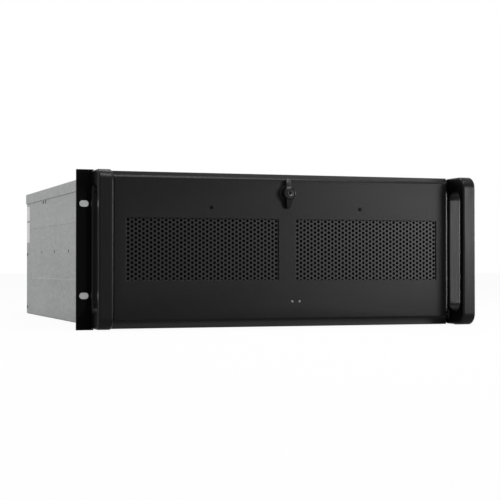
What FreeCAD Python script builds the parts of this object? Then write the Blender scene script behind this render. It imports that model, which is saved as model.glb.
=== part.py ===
import FreeCAD, Part
import math
import os
import re

import Sketcher

# Empty 4U rackmount server case, 19 inch wide: a folded steel tub with a riveted rear panel and a
# slide-off cover, a black front panel with rack ears and loop handles, a drop-down vented door with
# a winged cam lock, and the bays, fans, slot covers and front controls that such a case comes with.
# Small fasteners and their holes are six-sided and the perforation is coarse, to keep faces few.
# Millimetres. X runs to the right of someone facing the front, Y from front to rear, Z up. The
# origin is the centre of the four rack slots, on the rear face of the ears.

doc = FreeCAD.newDocument("server_case")
sheet = doc.addObject("Spreadsheet::Sheet", "Sizes")

SIZES = {
    # rack face
    "panel_height": 177.0,
    "ear_span": 482.6,
    "ear_thickness": 3.0,
    "ear_tongue": 168.0,
    "ear_step_x": 222.0,
    "slot_spacing_x": 465.1,
    "slot_spacing_z": 101.6,
    "slot_length": 10.5,
    "slot_width": 7.0,
    # tub and cover
    "body_width": 430.0,
    "body_depth": 480.0,
    "tub_sheet": 1.2,
    "top_flange": 12.0,
    "front_flange": 20.0,
    "bend_radius": 1.8,
    "rear_flange": 12.0,
    "roof_gap": 1.0,
    "cover_sheet": 1.0,
    "cover_gap": 0.3,
    "cover_flange": 13.9,
    "cover_front": 0.5,
    "rail_hole_y": 266.6,
    "rail_hole_pitch": 91.7,
    "rail_hole_z": 0.7,
    "rail_hole_radius": 2.3,
    # front panel
    "panel_width": 418.0,
    "panel_inset": 1.0,
    "panel_sheet": 1.5,
    "panel_return": 12.0,
    "panel_edge": 1.0,
    "panel_screw_x": 199.2,
    "panel_screw_pitch": 62.0,
    "screw_head": 3.6,
    "screw_head_height": 1.6,
    "screw_radius": 2.0,
    "screw_length": 8.0,
    "screw_clearance": 0.15,
    "thumbscrew_head": 5.0,
    "thumbscrew_height": 6.0,
    # handles
    "handle_inner_x": 209.6,
    "handle_width": 16.0,
    "handle_height": 174.0,
    "handle_reach": 44.0,
    "handle_bar": 10.0,
    "handle_foot": 7.0,
    "handle_arm": 16.5,
    "handle_corner": 14.0,
    "handle_window_corner": 11.0,
    "handle_edge": 1.2,
    "handle_screw_x": 220.8,
    "handle_screw_head": 4.0,
    "handle_screw_height": 2.6,
    "handle_screw_depth": 12.0,
    # door
    "door_width": 409.0,
    "door_bottom": -79.6,
    "door_top": 82.6,
    "door_depth": 10.6,
    "door_stand_off": 2.5,
    "door_sheet": 1.5,
    "door_edge": 1.5,
    "window_width": 178.3,
    "window_height": 69.2,
    "window_x": 99.65,
    "window_z": 0.7,
    "pivot_rise": 4.0,
    "pivot_y": -10.5,
    "pivot_radius": 2.0,
    "pivot_fit": 0.1,
    "pivot_hold": 1.0,
    "pivot_end": 0.4,
    "pivot_wall": 2.0,
    "pivot_tab_x": 206.4,
    "pivot_tab_sheet": 2.0,
    "pivot_tab_half": 5.0,
    # perforated sheets behind the door's windows
    "mesh_sheet": 1.0,
    "mesh_inner_x": 4.0,
    "mesh_outer_x": 196.0,
    "mesh_bottom": -39.0,
    "mesh_top": 53.0,
    "mesh_row_pitch": 16.6,
    "mesh_column_pitch": 14.4,
    "mesh_hole": 5.7,
    "mesh_columns": 6,
    "mesh_rows": 4,
    "mesh_screw_x": 90.4,
    "mesh_screw_z": 48.0,
    "mesh_screw_head": 2.4,
    "mesh_screw_rise": 0.8,
    "mesh_screw_radius": 1.2,
    "mesh_screw_length": 4.5,
    # lock
    "lock_z": 65.0,
    "lock_flange": 9.3,
    "lock_flange_height": 1.7,
    "lock_barrel": 8.0,
    "lock_fit": 0.15,
    "lock_core": 3.0,
    "lock_core_fit": 0.08,
    "lock_nut_across": 19.0,
    "lock_nut_height": 3.0,
    "knob_gap": 0.3,
    "knob_hub": 7.0,
    "knob_height": 7.6,
    "knob_half_length": 17.5,
    "knob_root_height": 7.0,
    "knob_tip_height": 3.2,
    "knob_wing_root": 4.6,
    "knob_wing_tip": 2.6,
    "knob_tip_round": 1.5,
    "knob_edge": 0.8,
    "keyway_width": 1.8,
    "keyway_height": 5.6,
    "keyway_depth": 6.6,
    "cam_sheet": 1.5,
    "cam_length": 19.0,
    "cam_width": 12.0,
    "cam_corner": 2.0,
    "cam_clearance": 0.3,
    "cam_window_half": 11.0,
    "cam_window_reach": 23.0,
    "cam_screw_head": 3.8,
    "cam_screw_height": 2.2,
    # 5.25 inch bays
    "bay_x": 118.0,
    "bay_z": 0.5,
    "bay_pitch": 42.3,
    "bay_count": 3,
    "bay_width": 148.0,
    "bay_clearance": 0.3,
    "bay_sheet": 1.0,
    "bay_cage_depth": 165.0,
    "bay_foot": 10.0,
    "bay_foot_start": 20.0,
    "bay_foot_end": 15.0,
    "bay_slot_near": 35.0,
    "bay_slot_far": 115.0,
    "bay_slot_length": 12.0,
    "bay_slot_low": 12.0,
    "bay_slot_high": 8.5,
    "bay_cover_proud": 3.5,
    "bay_cover_depth": 14.0,
    "bay_cover_wall": 2.0,
    "bay_cover_edge": 0.8,
    # 3.5 inch drive cage
    "drive_x": -125.0,
    "drive_y": 40.0,
    "drive_width": 102.4,
    "drive_sheet": 1.2,
    "drive_cage_height": 118.0,
    "drive_cage_depth": 150.0,
    "drive_pitch": 29.0,
    "drive_foot": 10.0,
    "drive_foot_inset": 10.0,
    "drive_window_inset": 30.0,
    "drive_window_rise": 6.0,
    "drive_bays": 4,
    # fans
    "front_fan_x": -125.0,
    "front_fan_size": 120.0,
    "front_fan_hole": 57.5,
    "front_fan_pitch": 105.0,
    "front_fan_hub": 20.0,
    "rear_fan_pitch_x": 82.0,
    "rear_fan_z": 24.0,
    "rear_fan_size": 80.0,
    "rear_fan_hole": 38.0,
    "rear_fan_pitch": 71.5,
    "rear_fan_hub": 15.0,
    "fan_depth": 25.0,
    "fan_corner": 4.0,
    "fan_strut": 5.0,
    "fan_plate": 4.0,
    "fan_tip_gap": 1.2,
    "fan_gap": 0.5,
    "fan_blade": 1.6,
    "fan_blade_rake": 0.7,
    "fan_blades": 7,
    "fan_root": 2.0,
    "fan_blade_inset": 1.0,
    "fan_ring_gap": 2.5,
    "fan_vent_height": 5.2,
    "fan_vent_pitch": 8.6,
    # rear wall
    "power_x": 165.0,
    "power_z": -8.8,
    "power_opening_width": 62.0,
    "power_opening_height": 142.0,
    "power_hole_width": 74.0,
    "power_hole_height": 138.0,
    "power_hole_radius": 2.0,
    "port_x": 37.0,
    "port_width": 158.75,
    "port_height": 44.45,
    "port_rise": 4.3,
    "slot_first_x": -58.0,
    "slot_pitch": 20.32,
    "slot_count": 7,
    "slot_opening": 13.5,
    "slot_bottom": -74.0,
    "slot_top": 28.0,
    "ledge_z": 34.4,
    "ledge_depth": 12.0,
    "ledge_margin": 2.5,
    "ledge_window": 16.0,
    "blank_width": 18.4,
    "blank_sheet": 0.9,
    "blank_overlap": 6.0,
    # board mounts
    "post_height": 6.5,
    "post_radius": 2.9,
    "post_rear_gap": 10.2,
    "post_pitch_y": 113.6,
    "post_pitch_x": 140.9,
    "post_x": 100.0,
    # front controls
    "button_x": -20.0,
    "power_button_z": -20.0,
    "reset_button_z": -38.0,
    "power_button_radius": 6.0,
    "reset_button_radius": 3.5,
    "button_fit": 0.3,
    "button_proud": 3.5,
    "button_flange": 1.2,
    "button_flange_height": 1.2,
    "button_stem": 2.0,
    "button_travel": 2.0,
    "led_x": 10.7,
    "led_pitch": 9.0,
    "led_z": -58.5,
    "led_radius": 1.5,
    "led_fit": 0.15,
    "led_proud": 3.0,
    "board_y": 9.0,
    "board_sheet": 1.6,
    "board_x": -1.0,
    "board_z": -36.0,
    "board_width": 62.0,
    "board_height": 60.0,
    "switch_height": 4.0,
    "switch_size": 8.0,
    "control_post_inset": 4.0,
    "usb_x": 14.0,
    "usb_z": -23.0,
    "usb_pitch": 16.0,
    "usb_width": 13.2,
    "usb_height": 5.8,
    "usb_shell": 0.6,
    "usb_proud": 0.5,
    "usb_tongue_inset": 2.0,
    "usb_tongue_low": 0.3,
    "usb_tongue_high": 1.9,
}

for row, (alias, number) in enumerate(SIZES.items(), start=1):
    sheet.set(f"A{row}", alias)
    sheet.set(f"B{row}", str(number))
    sheet.setAlias(f"B{row}", alias)
doc.recompute()

# Places that several pieces share, written in the sheet's aliases.
HALF_BODY = "(body_width / 2)"
FLOOR = "(panel_inset + panel_sheet - panel_height / 2)"
ROOF = "(panel_height / 2 - panel_inset - panel_sheet - roof_gap)"
TUB_TOP = f"({ROOF} - cover_sheet - cover_gap)"
INNER_FLOOR = f"({FLOOR} + tub_sheet)"
PANEL_FRONT = "(-ear_thickness - panel_sheet)"
PANEL_REAR = "(-ear_thickness)"
HALF_PANEL = "(panel_height / 2 - panel_inset)"
DOOR_REAR = f"({PANEL_FRONT} - door_stand_off)"
DOOR_FRONT = f"({DOOR_REAR} - door_depth)"
DOOR_INNER = f"({DOOR_FRONT} + door_sheet)"
PIVOT_Z = "(door_bottom + pivot_rise)"
CAM_FRONT = f"({PANEL_REAR} + cam_clearance)"
CAM_REAR = f"({CAM_FRONT} + cam_sheet)"
REAR_WALL = "(body_depth - tub_sheet)"
HANDLE_X = "(handle_inner_x + handle_width / 2)"
HANDLE_SCREW_Z = "(handle_height / 2 - handle_arm / 2)"
LIP_UNDER = f"({TUB_TOP} - tub_sheet)"
COVER_SCREW_Z = f"({ROOF} - cover_flange / 2)"
PANEL_SCREWS = [(across, up) for across in (-1, 1) for up in (-1, 0, 1)]

NAME = re.compile(r"[a-z][a-z_]*[a-z]")
TURNS = {
    "+X": FreeCAD.Rotation(FreeCAD.Vector(0, 1, 0), 90),
    "-X": FreeCAD.Rotation(FreeCAD.Vector(0, 1, 0), -90),
    "+Y": FreeCAD.Rotation(FreeCAD.Vector(1, 0, 0), -90),
    "-Y": FreeCAD.Rotation(FreeCAD.Vector(1, 0, 0), 90),
    "+Z": FreeCAD.Rotation(),
    "-Z": FreeCAD.Rotation(FreeCAD.Vector(1, 0, 0), 180),
}
BORE_SIDES = 32
HUB_SIDES = 24
PIECES = []


def tie(item, prop, text):
    """Bind a property to an expression in the sheet's aliases."""
    aliases = NAME.sub(lambda word: "Sizes." + word[0] if word[0] in SIZES else word[0], str(text))
    item.setExpression(prop, aliases)


def place(item, x, y, z):
    """Bind the place of a primitive."""
    tie(item, "Placement.Base.x", x)
    tie(item, "Placement.Base.y", y)
    tie(item, "Placement.Base.z", z)


def keep(item, label):
    """Name a finished piece; its label is the name of its file."""
    item.Label = label
    PIECES.append(item)
    return item


def new_body(name):
    """PartDesign body, kept as a piece under its own name."""
    return keep(doc.addObject("PartDesign::Body", "body_" + name), name)


def sketch(body, name, plane, level="0", across="0", up="0"):
    """Sketch parallel to an origin plane, at a level along that plane's row axis."""
    drawing = body.newObject("Sketcher::SketchObject", f"{body.Label}_{name}")
    support = next(item for item in body.Origin.OriginFeatures if item.Role == plane + "_Plane")
    drawing.AttachmentSupport = [(support, "")]
    drawing.MapMode = "FlatFace"
    sign = "-1" if plane == "XZ" else "1"
    tie(drawing, "AttachmentOffset.Base.x", across)
    tie(drawing, "AttachmentOffset.Base.y", up)
    tie(drawing, "AttachmentOffset.Base.z", f"{sign} * ({level})")
    return drawing


def polygon(drawing, corners):
    """Closed outline with straight sides, each corner dimensioned from the sketch's origin."""
    count = len(corners)
    first = drawing.GeometryCount
    angles = [2 * math.pi * step / count for step in range(count)]
    ring = [FreeCAD.Vector(math.cos(angle), math.sin(angle), 0) for angle in angles]
    drawing.addGeometry([Part.LineSegment(ring[k], ring[(k + 1) % count]) for k in range(count)])
    rules = [
        Sketcher.Constraint("Coincident", first + k, 2, first + (k + 1) % count, 1)
        for k in range(count)
    ]
    for k in range(count):
        rules.append(Sketcher.Constraint("DistanceX", -1, 1, first + k, 1, ring[k].x))
        rules.append(Sketcher.Constraint("DistanceY", -1, 1, first + k, 1, ring[k].y))
    start = drawing.ConstraintCount + count
    drawing.addConstraint(rules)
    for k, (across, up) in enumerate(corners):
        tie(drawing, f"Constraints[{start + 2 * k}]", across)
        tie(drawing, f"Constraints[{start + 2 * k + 1}]", up)


def rectangle(drawing, left, right, bottom, top):
    """Rectangle between two pairs of limits."""
    polygon(drawing, [(left, bottom), (right, bottom), (right, top), (left, top)])


def circle(drawing, across, up, radius):
    """Circle dimensioned from the sketch's origin."""
    ring = Part.Circle(FreeCAD.Vector(1, 1, 0), FreeCAD.Vector(0, 0, 1), 1)
    index = drawing.addGeometry(ring)
    start = drawing.ConstraintCount
    drawing.addConstraint([
        Sketcher.Constraint("DistanceX", -1, 1, index, 3, 1.0),
        Sketcher.Constraint("DistanceY", -1, 1, index, 3, 1.0),
        Sketcher.Constraint("Radius", index, 1.0),
    ])
    tie(drawing, f"Constraints[{start}]", across)
    tie(drawing, f"Constraints[{start + 1}]", up)
    tie(drawing, f"Constraints[{start + 2}]", radius)


def regular(drawing, across, up, radius, sides):
    """Regular outline with its corners on a circle, dimensioned from the sketch's origin."""
    turns = [360 * step / sides for step in range(sides)]
    polygon(drawing, [(f"{across} + ({radius}) * cos({turn} deg)",
                       f"{up} + ({radius}) * sin({turn} deg)") for turn in turns])


def hexagon(drawing, across, up, radius):
    """Six-sided hole for a small fastener."""
    regular(drawing, across, up, radius, 6)


def pad(body, drawing, length, towards=1):
    """Pad a sketch towards the plus or minus side of its row axis."""
    feature = body.newObject("PartDesign::Pad", drawing.Name + "_pad")
    feature.Profile = drawing
    tie(feature, "Length", length)
    feature.Reversed = (towards > 0) == ("XZ_" in drawing.AttachmentSupport[0][0].Role)
    doc.recompute()
    return feature


def pocket(body, drawing, depth, towards=1, both=False):
    """Pocket a sketch towards one side of its row axis, or both; it has to take material away."""
    before = body.Shape.Volume
    feature = body.newObject("PartDesign::Pocket", drawing.Name + "_pocket")
    feature.Profile = drawing
    tie(feature, "Length", depth)
    feature.Midplane = both
    feature.Reversed = (towards > 0) != ("XZ_" in drawing.AttachmentSupport[0][0].Role)
    doc.recompute()
    if before - body.Shape.Volume < 1e-3:
        raise RuntimeError(f"{feature.Name} cuts nothing")
    return feature


def fillet(body, name, radius, wanted):
    """Round those edges of the body's last feature that the test picks."""
    return dress(body, name, radius, wanted, "Fillet", "Radius")


def chamfer(body, name, size, wanted):
    """Bevel those edges of the body's last feature that the test picks."""
    return dress(body, name, size, wanted, "Chamfer", "Size")


def dress(body, name, size, wanted, kind, prop):
    """Fillet or chamfer on the picked edges."""
    base = body.Tip
    edges = [f"Edge{n}" for n, edge in enumerate(base.Shape.Edges, start=1) if wanted(edge)]
    feature = body.newObject(f"PartDesign::{kind}", f"{body.Label}_{name}")
    feature.Base = (base, edges)
    tie(feature, prop, size)
    doc.recompute()
    return feature


def runs_along(edge, axis):
    """True for a straight edge parallel to an axis (0, 1 or 2)."""
    if edge.Curve.TypeId != "Part::GeomLine":
        return False
    return abs(abs(edge.tangentAt(edge.FirstParameter)[axis]) - 1) < 1e-6


def at_limit(edge, box, axis, low=True, high=True):
    """True for an edge whose middle lies on the box's lower or upper limit along an axis."""
    limits = ((box.XMin, box.XMax), (box.YMin, box.YMax), (box.ZMin, box.ZMax))[axis]
    middle = edge.CenterOfMass[axis]
    return (low and abs(middle - limits[0]) < 1e-3) or (high and abs(middle - limits[1]) < 1e-3)


def block(name, low, high):
    """Box between two corners."""
    item = doc.addObject("Part::Box", name)
    for prop, near, far in zip(("Length", "Width", "Height"), low, high):
        tie(item, prop, f"({far}) - ({near})")
    place(item, *low)
    return item


def rod(name, radius, length, start, direction):
    """Cylinder from a point along an axis."""
    item = doc.addObject("Part::Cylinder", name)
    tie(item, "Radius", radius)
    tie(item, "Height", length)
    item.Placement = FreeCAD.Placement(FreeCAD.Vector(), TURNS[direction])
    place(item, *start)
    return item


def prism(name, radius, length, start, direction):
    """Hexagonal bar from a point along an axis."""
    item = doc.addObject("Part::Prism", name)
    item.Polygon = 6
    tie(item, "Circumradius", radius)
    tie(item, "Height", length)
    item.Placement = FreeCAD.Placement(FreeCAD.Vector(), TURNS[direction])
    place(item, *start)
    return item


def fused(name, items):
    """One solid from pieces that meet."""
    item = doc.addObject("Part::MultiFuse", name)
    item.Shapes = items
    return item


def grouped(name, items):
    """Separate solids under one name, for fasteners that are all alike."""
    item = doc.addObject("Part::Compound", "set_" + name)
    item.Links = items
    return keep(item, name)


def without(name, base, tool):
    """Base with tool taken away."""
    item = doc.addObject("Part::Cut", name)
    item.Base = base
    item.Tool = tool
    return item


def screw(name, seat, direction, head, head_height, shank, length):
    """Hexagon-head screw: direction is the way its shank points away from the seat."""
    opposite = ("-" if direction[0] == "+" else "+") + direction[1]
    top = prism(name + "_head", head, head_height, seat, opposite)
    stem = prism(name + "_shank", shank, length, seat, direction)
    return fused(name, [top, stem])


def pairs():
    """Corner signs of a rectangular pattern."""
    return [(across, up) for across in (-1, 1) for up in (-1, 1)]


# --- Tub: floor, side walls, top lips and front flanges, folded from one sheet ---

def make_tub():
    body = new_body("tub")
    walls = sketch(body, "walls", "XZ")
    inner = f"({HALF_BODY} - tub_sheet)"
    lip = f"({HALF_BODY} - top_flange)"
    right = [(HALF_BODY, FLOOR), (HALF_BODY, TUB_TOP), (lip, TUB_TOP), (lip, LIP_UNDER),
             (inner, LIP_UNDER), (inner, INNER_FLOOR)]
    left = [(f"-1 * {across}", up) for across, up in reversed(right)]
    polygon(walls, right + left)
    pad(body, walls, "body_depth")
    front = sketch(body, "front_flanges", "XZ")
    for side in (-1, 1):
        edges = (f"{side} * {HALF_BODY}", f"{side} * ({HALF_BODY} - front_flange)")
        rectangle(front, *edges, FLOOR, TUB_TOP)
    pad(body, front, "tub_sheet")
    rails = sketch(body, "rail_holes", "YZ")
    for step in (-1, 0, 1):
        circle(rails, f"rail_hole_y + {step} * rail_hole_pitch", "rail_hole_z",
               "rail_hole_radius")
    pocket(body, rails, "body_width + 2 * tub_sheet", both=True)
    panel_holes = sketch(body, "panel_holes", "XZ")
    for across, up in PANEL_SCREWS:
        hexagon(panel_holes, f"{across} * panel_screw_x", f"{up} * panel_screw_pitch",
                "screw_radius")
    pocket(body, panel_holes, "tub_sheet")
    box = body.Shape.BoundBox
    fillet(body, "bends", "bend_radius",
           lambda edge: runs_along(edge, 1) and at_limit(edge, box, 0)
           and edge.Length > box.YLength / 2)


# --- Rear panel: sheet riveted inside the tub by its side flanges, with the slot ledge ---

def make_rear_panel():
    body = new_body("rear_panel")
    half = f"({HALF_BODY} - tub_sheet)"
    folded = sketch(body, "folded", "XY", INNER_FLOOR)
    polygon(folded, [(half, "body_depth"), (half, "body_depth - rear_flange"),
                     (f"{half} - tub_sheet", "body_depth - rear_flange"),
                     (f"{half} - tub_sheet", REAR_WALL), (f"-1 * {half} + tub_sheet", REAR_WALL),
                     (f"-1 * {half} + tub_sheet", "body_depth - rear_flange"),
                     (f"-1 * {half}", "body_depth - rear_flange"), (f"-1 * {half}", "body_depth")])
    pad(body, folded, f"{LIP_UNDER} - {INNER_FLOOR}")
    ledge = sketch(body, "slot_ledge", "XY", "ledge_z - tub_sheet")
    ledge_left = "(slot_first_x - (slot_count - 1) * slot_pitch - blank_width / 2 - ledge_margin)"
    ledge_right = "(slot_first_x + blank_width / 2 + ledge_margin)"
    rectangle(ledge, ledge_left, ledge_right, REAR_WALL, "body_depth + ledge_depth")
    pad(body, ledge, "tub_sheet")
    ledge_holes = sketch(body, "ledge_holes", "XY", "ledge_z")
    for step in range(int(SIZES["slot_count"])):
        hexagon(ledge_holes, f"slot_first_x - {step} * slot_pitch",
                "body_depth + ledge_depth / 2", "screw_radius")
    pocket(body, ledge_holes, "tub_sheet", towards=-1)

    openings = sketch(body, "openings", "XZ", "body_depth")
    rectangle(openings, ledge_left, ledge_right, "ledge_z", "ledge_z + ledge_window")
    rectangle(openings, "port_x - port_width / 2", "port_x + port_width / 2",
              f"{INNER_FLOOR} + port_rise", f"{INNER_FLOOR} + port_rise + port_height")
    rectangle(openings, "power_x - power_opening_width / 2", "power_x + power_opening_width / 2",
              "power_z - power_opening_height / 2", "power_z + power_opening_height / 2")
    for across, up in pairs():
        circle(openings, f"power_x + {across} * power_hole_width / 2",
               f"power_z + {up} * power_hole_height / 2", "power_hole_radius")
    for step in range(int(SIZES["slot_count"])):
        middle = f"slot_first_x - {step} * slot_pitch"
        rectangle(openings, f"{middle} - slot_opening / 2", f"{middle} + slot_opening / 2",
                  "slot_bottom", "slot_top")
    pocket(body, openings, "tub_sheet", towards=-1)

    vents = sketch(body, "fan_vents", "XZ", "body_depth")
    for side in (-1, 1):
        fan_x = f"(port_x + {side} * rear_fan_pitch_x / 2)"
        for across, up in pairs():
            hexagon(vents, f"{fan_x} + {across} * rear_fan_pitch / 2",
                    f"rear_fan_z + {up} * rear_fan_pitch / 2", "screw_radius + screw_clearance")
        for step in range(-3, 5):
            rise = f"({step} - 0.5) * fan_vent_pitch"
            reach = f"sqrt((rear_fan_hole - 1)^2 - (abs({rise}) + fan_vent_height / 2)^2)"
            rectangle(vents, f"{fan_x} - {reach}", f"{fan_x} + {reach}",
                      f"rear_fan_z + {rise} - fan_vent_height / 2",
                      f"rear_fan_z + {rise} + fan_vent_height / 2")
    for step in (-1, 0, 1):
        hexagon(vents, f"{step} * body_width / 3", COVER_SCREW_Z, "screw_radius")
    pocket(body, vents, "tub_sheet", towards=-1)


# --- Top cover: lid with folded sides and rear lip, held by three thumbscrews ---

def make_cover():
    body = new_body("top_cover")
    outer = f"({HALF_BODY} + cover_gap + cover_sheet)"
    inner = f"({HALF_BODY} + cover_gap)"
    under = f"({ROOF} - cover_sheet)"
    lower = f"({ROOF} - cover_flange)"
    lid = sketch(body, "lid", "XZ", "cover_front")
    right = [(outer, lower), (outer, ROOF)]
    left = [(f"-1 * {outer}", ROOF), (f"-1 * {outer}", lower), (f"-1 * {inner}", lower),
            (f"-1 * {inner}", under)]
    polygon(lid, right + left + [(inner, under), (inner, lower)])
    rear = "(body_depth + cover_gap + cover_sheet)"
    pad(body, lid, f"{rear} - cover_front")
    lip = sketch(body, "rear_lip", "XZ", "body_depth + cover_gap")
    rectangle(lip, f"-1 * {outer}", outer, lower, ROOF)
    pad(body, lip, "cover_sheet")
    holes = sketch(body, "screw_holes", "XZ", "body_depth")
    for step in (-1, 0, 1):
        hexagon(holes, f"{step} * body_width / 3", COVER_SCREW_Z, "screw_radius")
    pocket(body, holes, "cover_gap + 2 * cover_sheet")
    box = body.Shape.BoundBox
    fillet(body, "bends", "cover_sheet - 0.1",
           lambda edge: runs_along(edge, 1) and at_limit(edge, box, 0)
           and at_limit(edge, box, 2, low=False))
    screws = []
    for step in (-1, 0, 1):
        seat = (f"{step} * body_width / 3", rear, COVER_SCREW_Z)
        screws.append(screw(f"cover_screw_{step + 2}", seat, "-Y", "thumbscrew_head",
                            "thumbscrew_height", "screw_radius", "screw_length"))
    grouped("cover_screws", screws)


# --- Front panel: black sheet with a return over the cover and a pivot tab at each lower corner ---

def make_panel():
    body = new_body("front_panel")
    web = sketch(body, "web", "YZ", "-1 * panel_width / 2")
    inner = f"({HALF_PANEL} - panel_sheet)"
    polygon(web, [(PANEL_FRONT, f"-1 * {HALF_PANEL}"), ("0", f"-1 * {HALF_PANEL}"),
                  ("0", f"-1 * {inner}"), (PANEL_REAR, f"-1 * {inner}"),
                  (PANEL_REAR, inner), ("panel_return", inner),
                  ("panel_return", HALF_PANEL), (PANEL_FRONT, HALF_PANEL)])
    pad(body, web, "panel_width")
    for side, name in ((-1, "left_tab"), (1, "right_tab")):
        tab = sketch(body, name, "YZ", f"{side} * pivot_tab_x")
        rectangle(tab, "pivot_y - pivot_radius - pivot_wall", PANEL_REAR,
                  f"{PIVOT_Z} - pivot_tab_half", f"{PIVOT_Z} + pivot_tab_half")
        pad(body, tab, "pivot_tab_sheet", towards=side)
    pivots = sketch(body, "pivot_holes", "YZ")
    circle(pivots, "pivot_y", PIVOT_Z, "pivot_radius")
    pocket(body, pivots, "panel_width", both=True)

    holes = sketch(body, "openings", "XZ", PANEL_FRONT)
    circle(holes, "front_fan_x", "0", "front_fan_hole - panel_edge")
    for across, up in pairs():
        hexagon(holes, f"front_fan_x + {across} * front_fan_pitch / 2",
                f"{up} * front_fan_pitch / 2", "screw_radius + screw_clearance")
    bay_half = "(bay_width / 2 + bay_clearance)"
    bay_rise = "(bay_count * bay_pitch / 2 + bay_clearance)"
    rectangle(holes, f"bay_x - {bay_half}", f"bay_x + {bay_half}",
              f"bay_z - {bay_rise}", f"bay_z + {bay_rise}")
    rectangle(holes, "-1 * cam_window_reach", "cam_window_half",
              "lock_z - cam_window_half", "lock_z + cam_window_half")
    circle(holes, "button_x", "power_button_z", "power_button_radius + button_fit")
    circle(holes, "button_x", "reset_button_z", "reset_button_radius + button_fit")
    for side in (-1, 1):
        hexagon(holes, f"led_x + {side} * led_pitch / 2", "led_z", "led_radius + 2 * led_fit")
        middle = f"(usb_z + {side} * usb_pitch / 2)"
        rectangle(holes, "usb_x - usb_width / 2 - button_fit", "usb_x + usb_width / 2 + button_fit",
                  f"{middle} - usb_height / 2 - button_fit",
                  f"{middle} + usb_height / 2 + button_fit")
    for across, up in PANEL_SCREWS:
        hexagon(holes, f"{across} * panel_screw_x", f"{up} * panel_screw_pitch",
                "screw_radius + screw_clearance")
    pocket(body, holes, "panel_sheet")

    pins = []
    pin_start = "(door_width / 2 - door_sheet - pivot_hold)"
    for side, name in ((-1, "left"), (1, "right")):
        pins.append(rod(f"pivot_pin_{name}", "pivot_radius",
                        f"pivot_tab_x + pivot_tab_sheet + pivot_end - {pin_start}",
                        (f"{side} * {pin_start}", "pivot_y", PIVOT_Z), "+X" if side > 0 else "-X"))
    grouped("pivot_pins", pins)
    screws = []
    for number, (across, up) in enumerate(PANEL_SCREWS):
        seat = (f"{across} * panel_screw_x", PANEL_FRONT, f"{up} * panel_screw_pitch")
        screws.append(screw(f"panel_screw_{number + 1}", seat, "+Y", "screw_head",
                            "screw_head_height", "screw_radius", "screw_length"))
    grouped("panel_screws", screws)


# --- Rack ears: flat plates clamped between the front panel and the tub's front flanges ---

def make_ear(side, name):
    body = new_body(f"ear_{name}")
    plate = sketch(body, "plate", "XZ", PANEL_REAR)
    tip = f"{side} * ear_span / 2"
    step = f"{side} * ear_step_x"
    root = f"{side} * ({HALF_BODY} - front_flange + 1)"
    tall = "panel_height / 2"
    short = "ear_tongue / 2"
    polygon(plate, [(tip, f"-1 * {tall}"), (step, f"-1 * {tall}"), (step, f"-1 * {short}"),
                    (root, f"-1 * {short}"), (root, short), (step, short), (step, tall),
                    (tip, tall)])
    pad(body, plate, "ear_thickness")
    slots = sketch(body, "slot_middles", "XZ", PANEL_REAR)
    ends = sketch(body, "slot_ends", "XZ", PANEL_REAR)
    flat = "(slot_length / 2 - slot_width / 2)"
    for up in (-1, 1):
        middle = (f"{side} * slot_spacing_x / 2", f"{up} * slot_spacing_z / 2")
        rectangle(slots, f"{middle[0]} - {flat}", f"{middle[0]} + {flat}",
                  f"{middle[1]} - slot_width / 2", f"{middle[1]} + slot_width / 2")
        for across in (-1, 1):
            circle(ends, f"{middle[0]} + {across} * {flat}", middle[1], "slot_width / 2")
    pocket(body, slots, "ear_thickness")
    pocket(body, ends, "ear_thickness")
    holes = sketch(body, "screw_holes", "XZ", PANEL_REAR)
    for up in (-1, 0, 1):
        hexagon(holes, f"{side} * panel_screw_x", f"{up} * panel_screw_pitch",
                "screw_radius + screw_clearance")
    for up in (-1, 1):
        hexagon(holes, f"{side} * handle_screw_x", f"{up} * {HANDLE_SCREW_Z}",
                "screw_radius + screw_clearance")
    pocket(body, holes, "ear_thickness")


# --- Handles: aluminium loops, screwed on from behind the ears ---

def make_handle(side, name):
    body = new_body(f"handle_{name}")
    front = f"({PANEL_REAR} - handle_reach)"
    tall = "(handle_height / 2)"
    outline = sketch(body, "outline", "YZ", f"{side} * {HANDLE_X}")
    rectangle(outline, front, PANEL_REAR, f"-1 * {tall}", tall)
    loop = pad(body, outline, "handle_width")
    loop.Midplane = True
    doc.recompute()
    box = body.Shape.BoundBox
    fillet(body, "corners", "handle_corner",
           lambda edge: runs_along(edge, 0) and at_limit(edge, box, 1, high=False))
    window = sketch(body, "window", "YZ", f"{side} * {HANDLE_X}")
    rise = f"({tall} - handle_arm)"
    rectangle(window, f"{front} + handle_bar", f"{PANEL_REAR} - handle_foot", f"-1 * {rise}", rise)
    pocket(body, window, "handle_width + 2", both=True)
    fillet(body, "window_corners", "handle_window_corner",
           lambda edge: runs_along(edge, 0) and not at_limit(edge, box, 1)
           and not at_limit(edge, box, 2))
    chamfer(body, "edges", "handle_edge",
            lambda edge: at_limit(edge, box, 0) and not at_limit(edge, box, 1, low=False))
    holes = sketch(body, "screw_holes", "XZ", PANEL_REAR)
    for up in (-1, 1):
        hexagon(holes, f"{side} * handle_screw_x", f"{up} * {HANDLE_SCREW_Z}", "screw_radius")
    pocket(body, holes, "handle_screw_depth", towards=-1)


def make_handle_screws():
    screws = []
    for number, (side, up) in enumerate(pairs()):
        seat = (f"{side} * handle_screw_x", "0", f"{up} * {HANDLE_SCREW_Z}")
        screws.append(screw(f"handle_screw_{number + 1}", seat, "-Y", "handle_screw_head",
                            "handle_screw_height", "screw_radius",
                            "handle_screw_depth + ear_thickness"))
    grouped("handle_screws", screws)


# --- Door: shallow steel tray with two windows, on two pins at its lower corners ---

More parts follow.
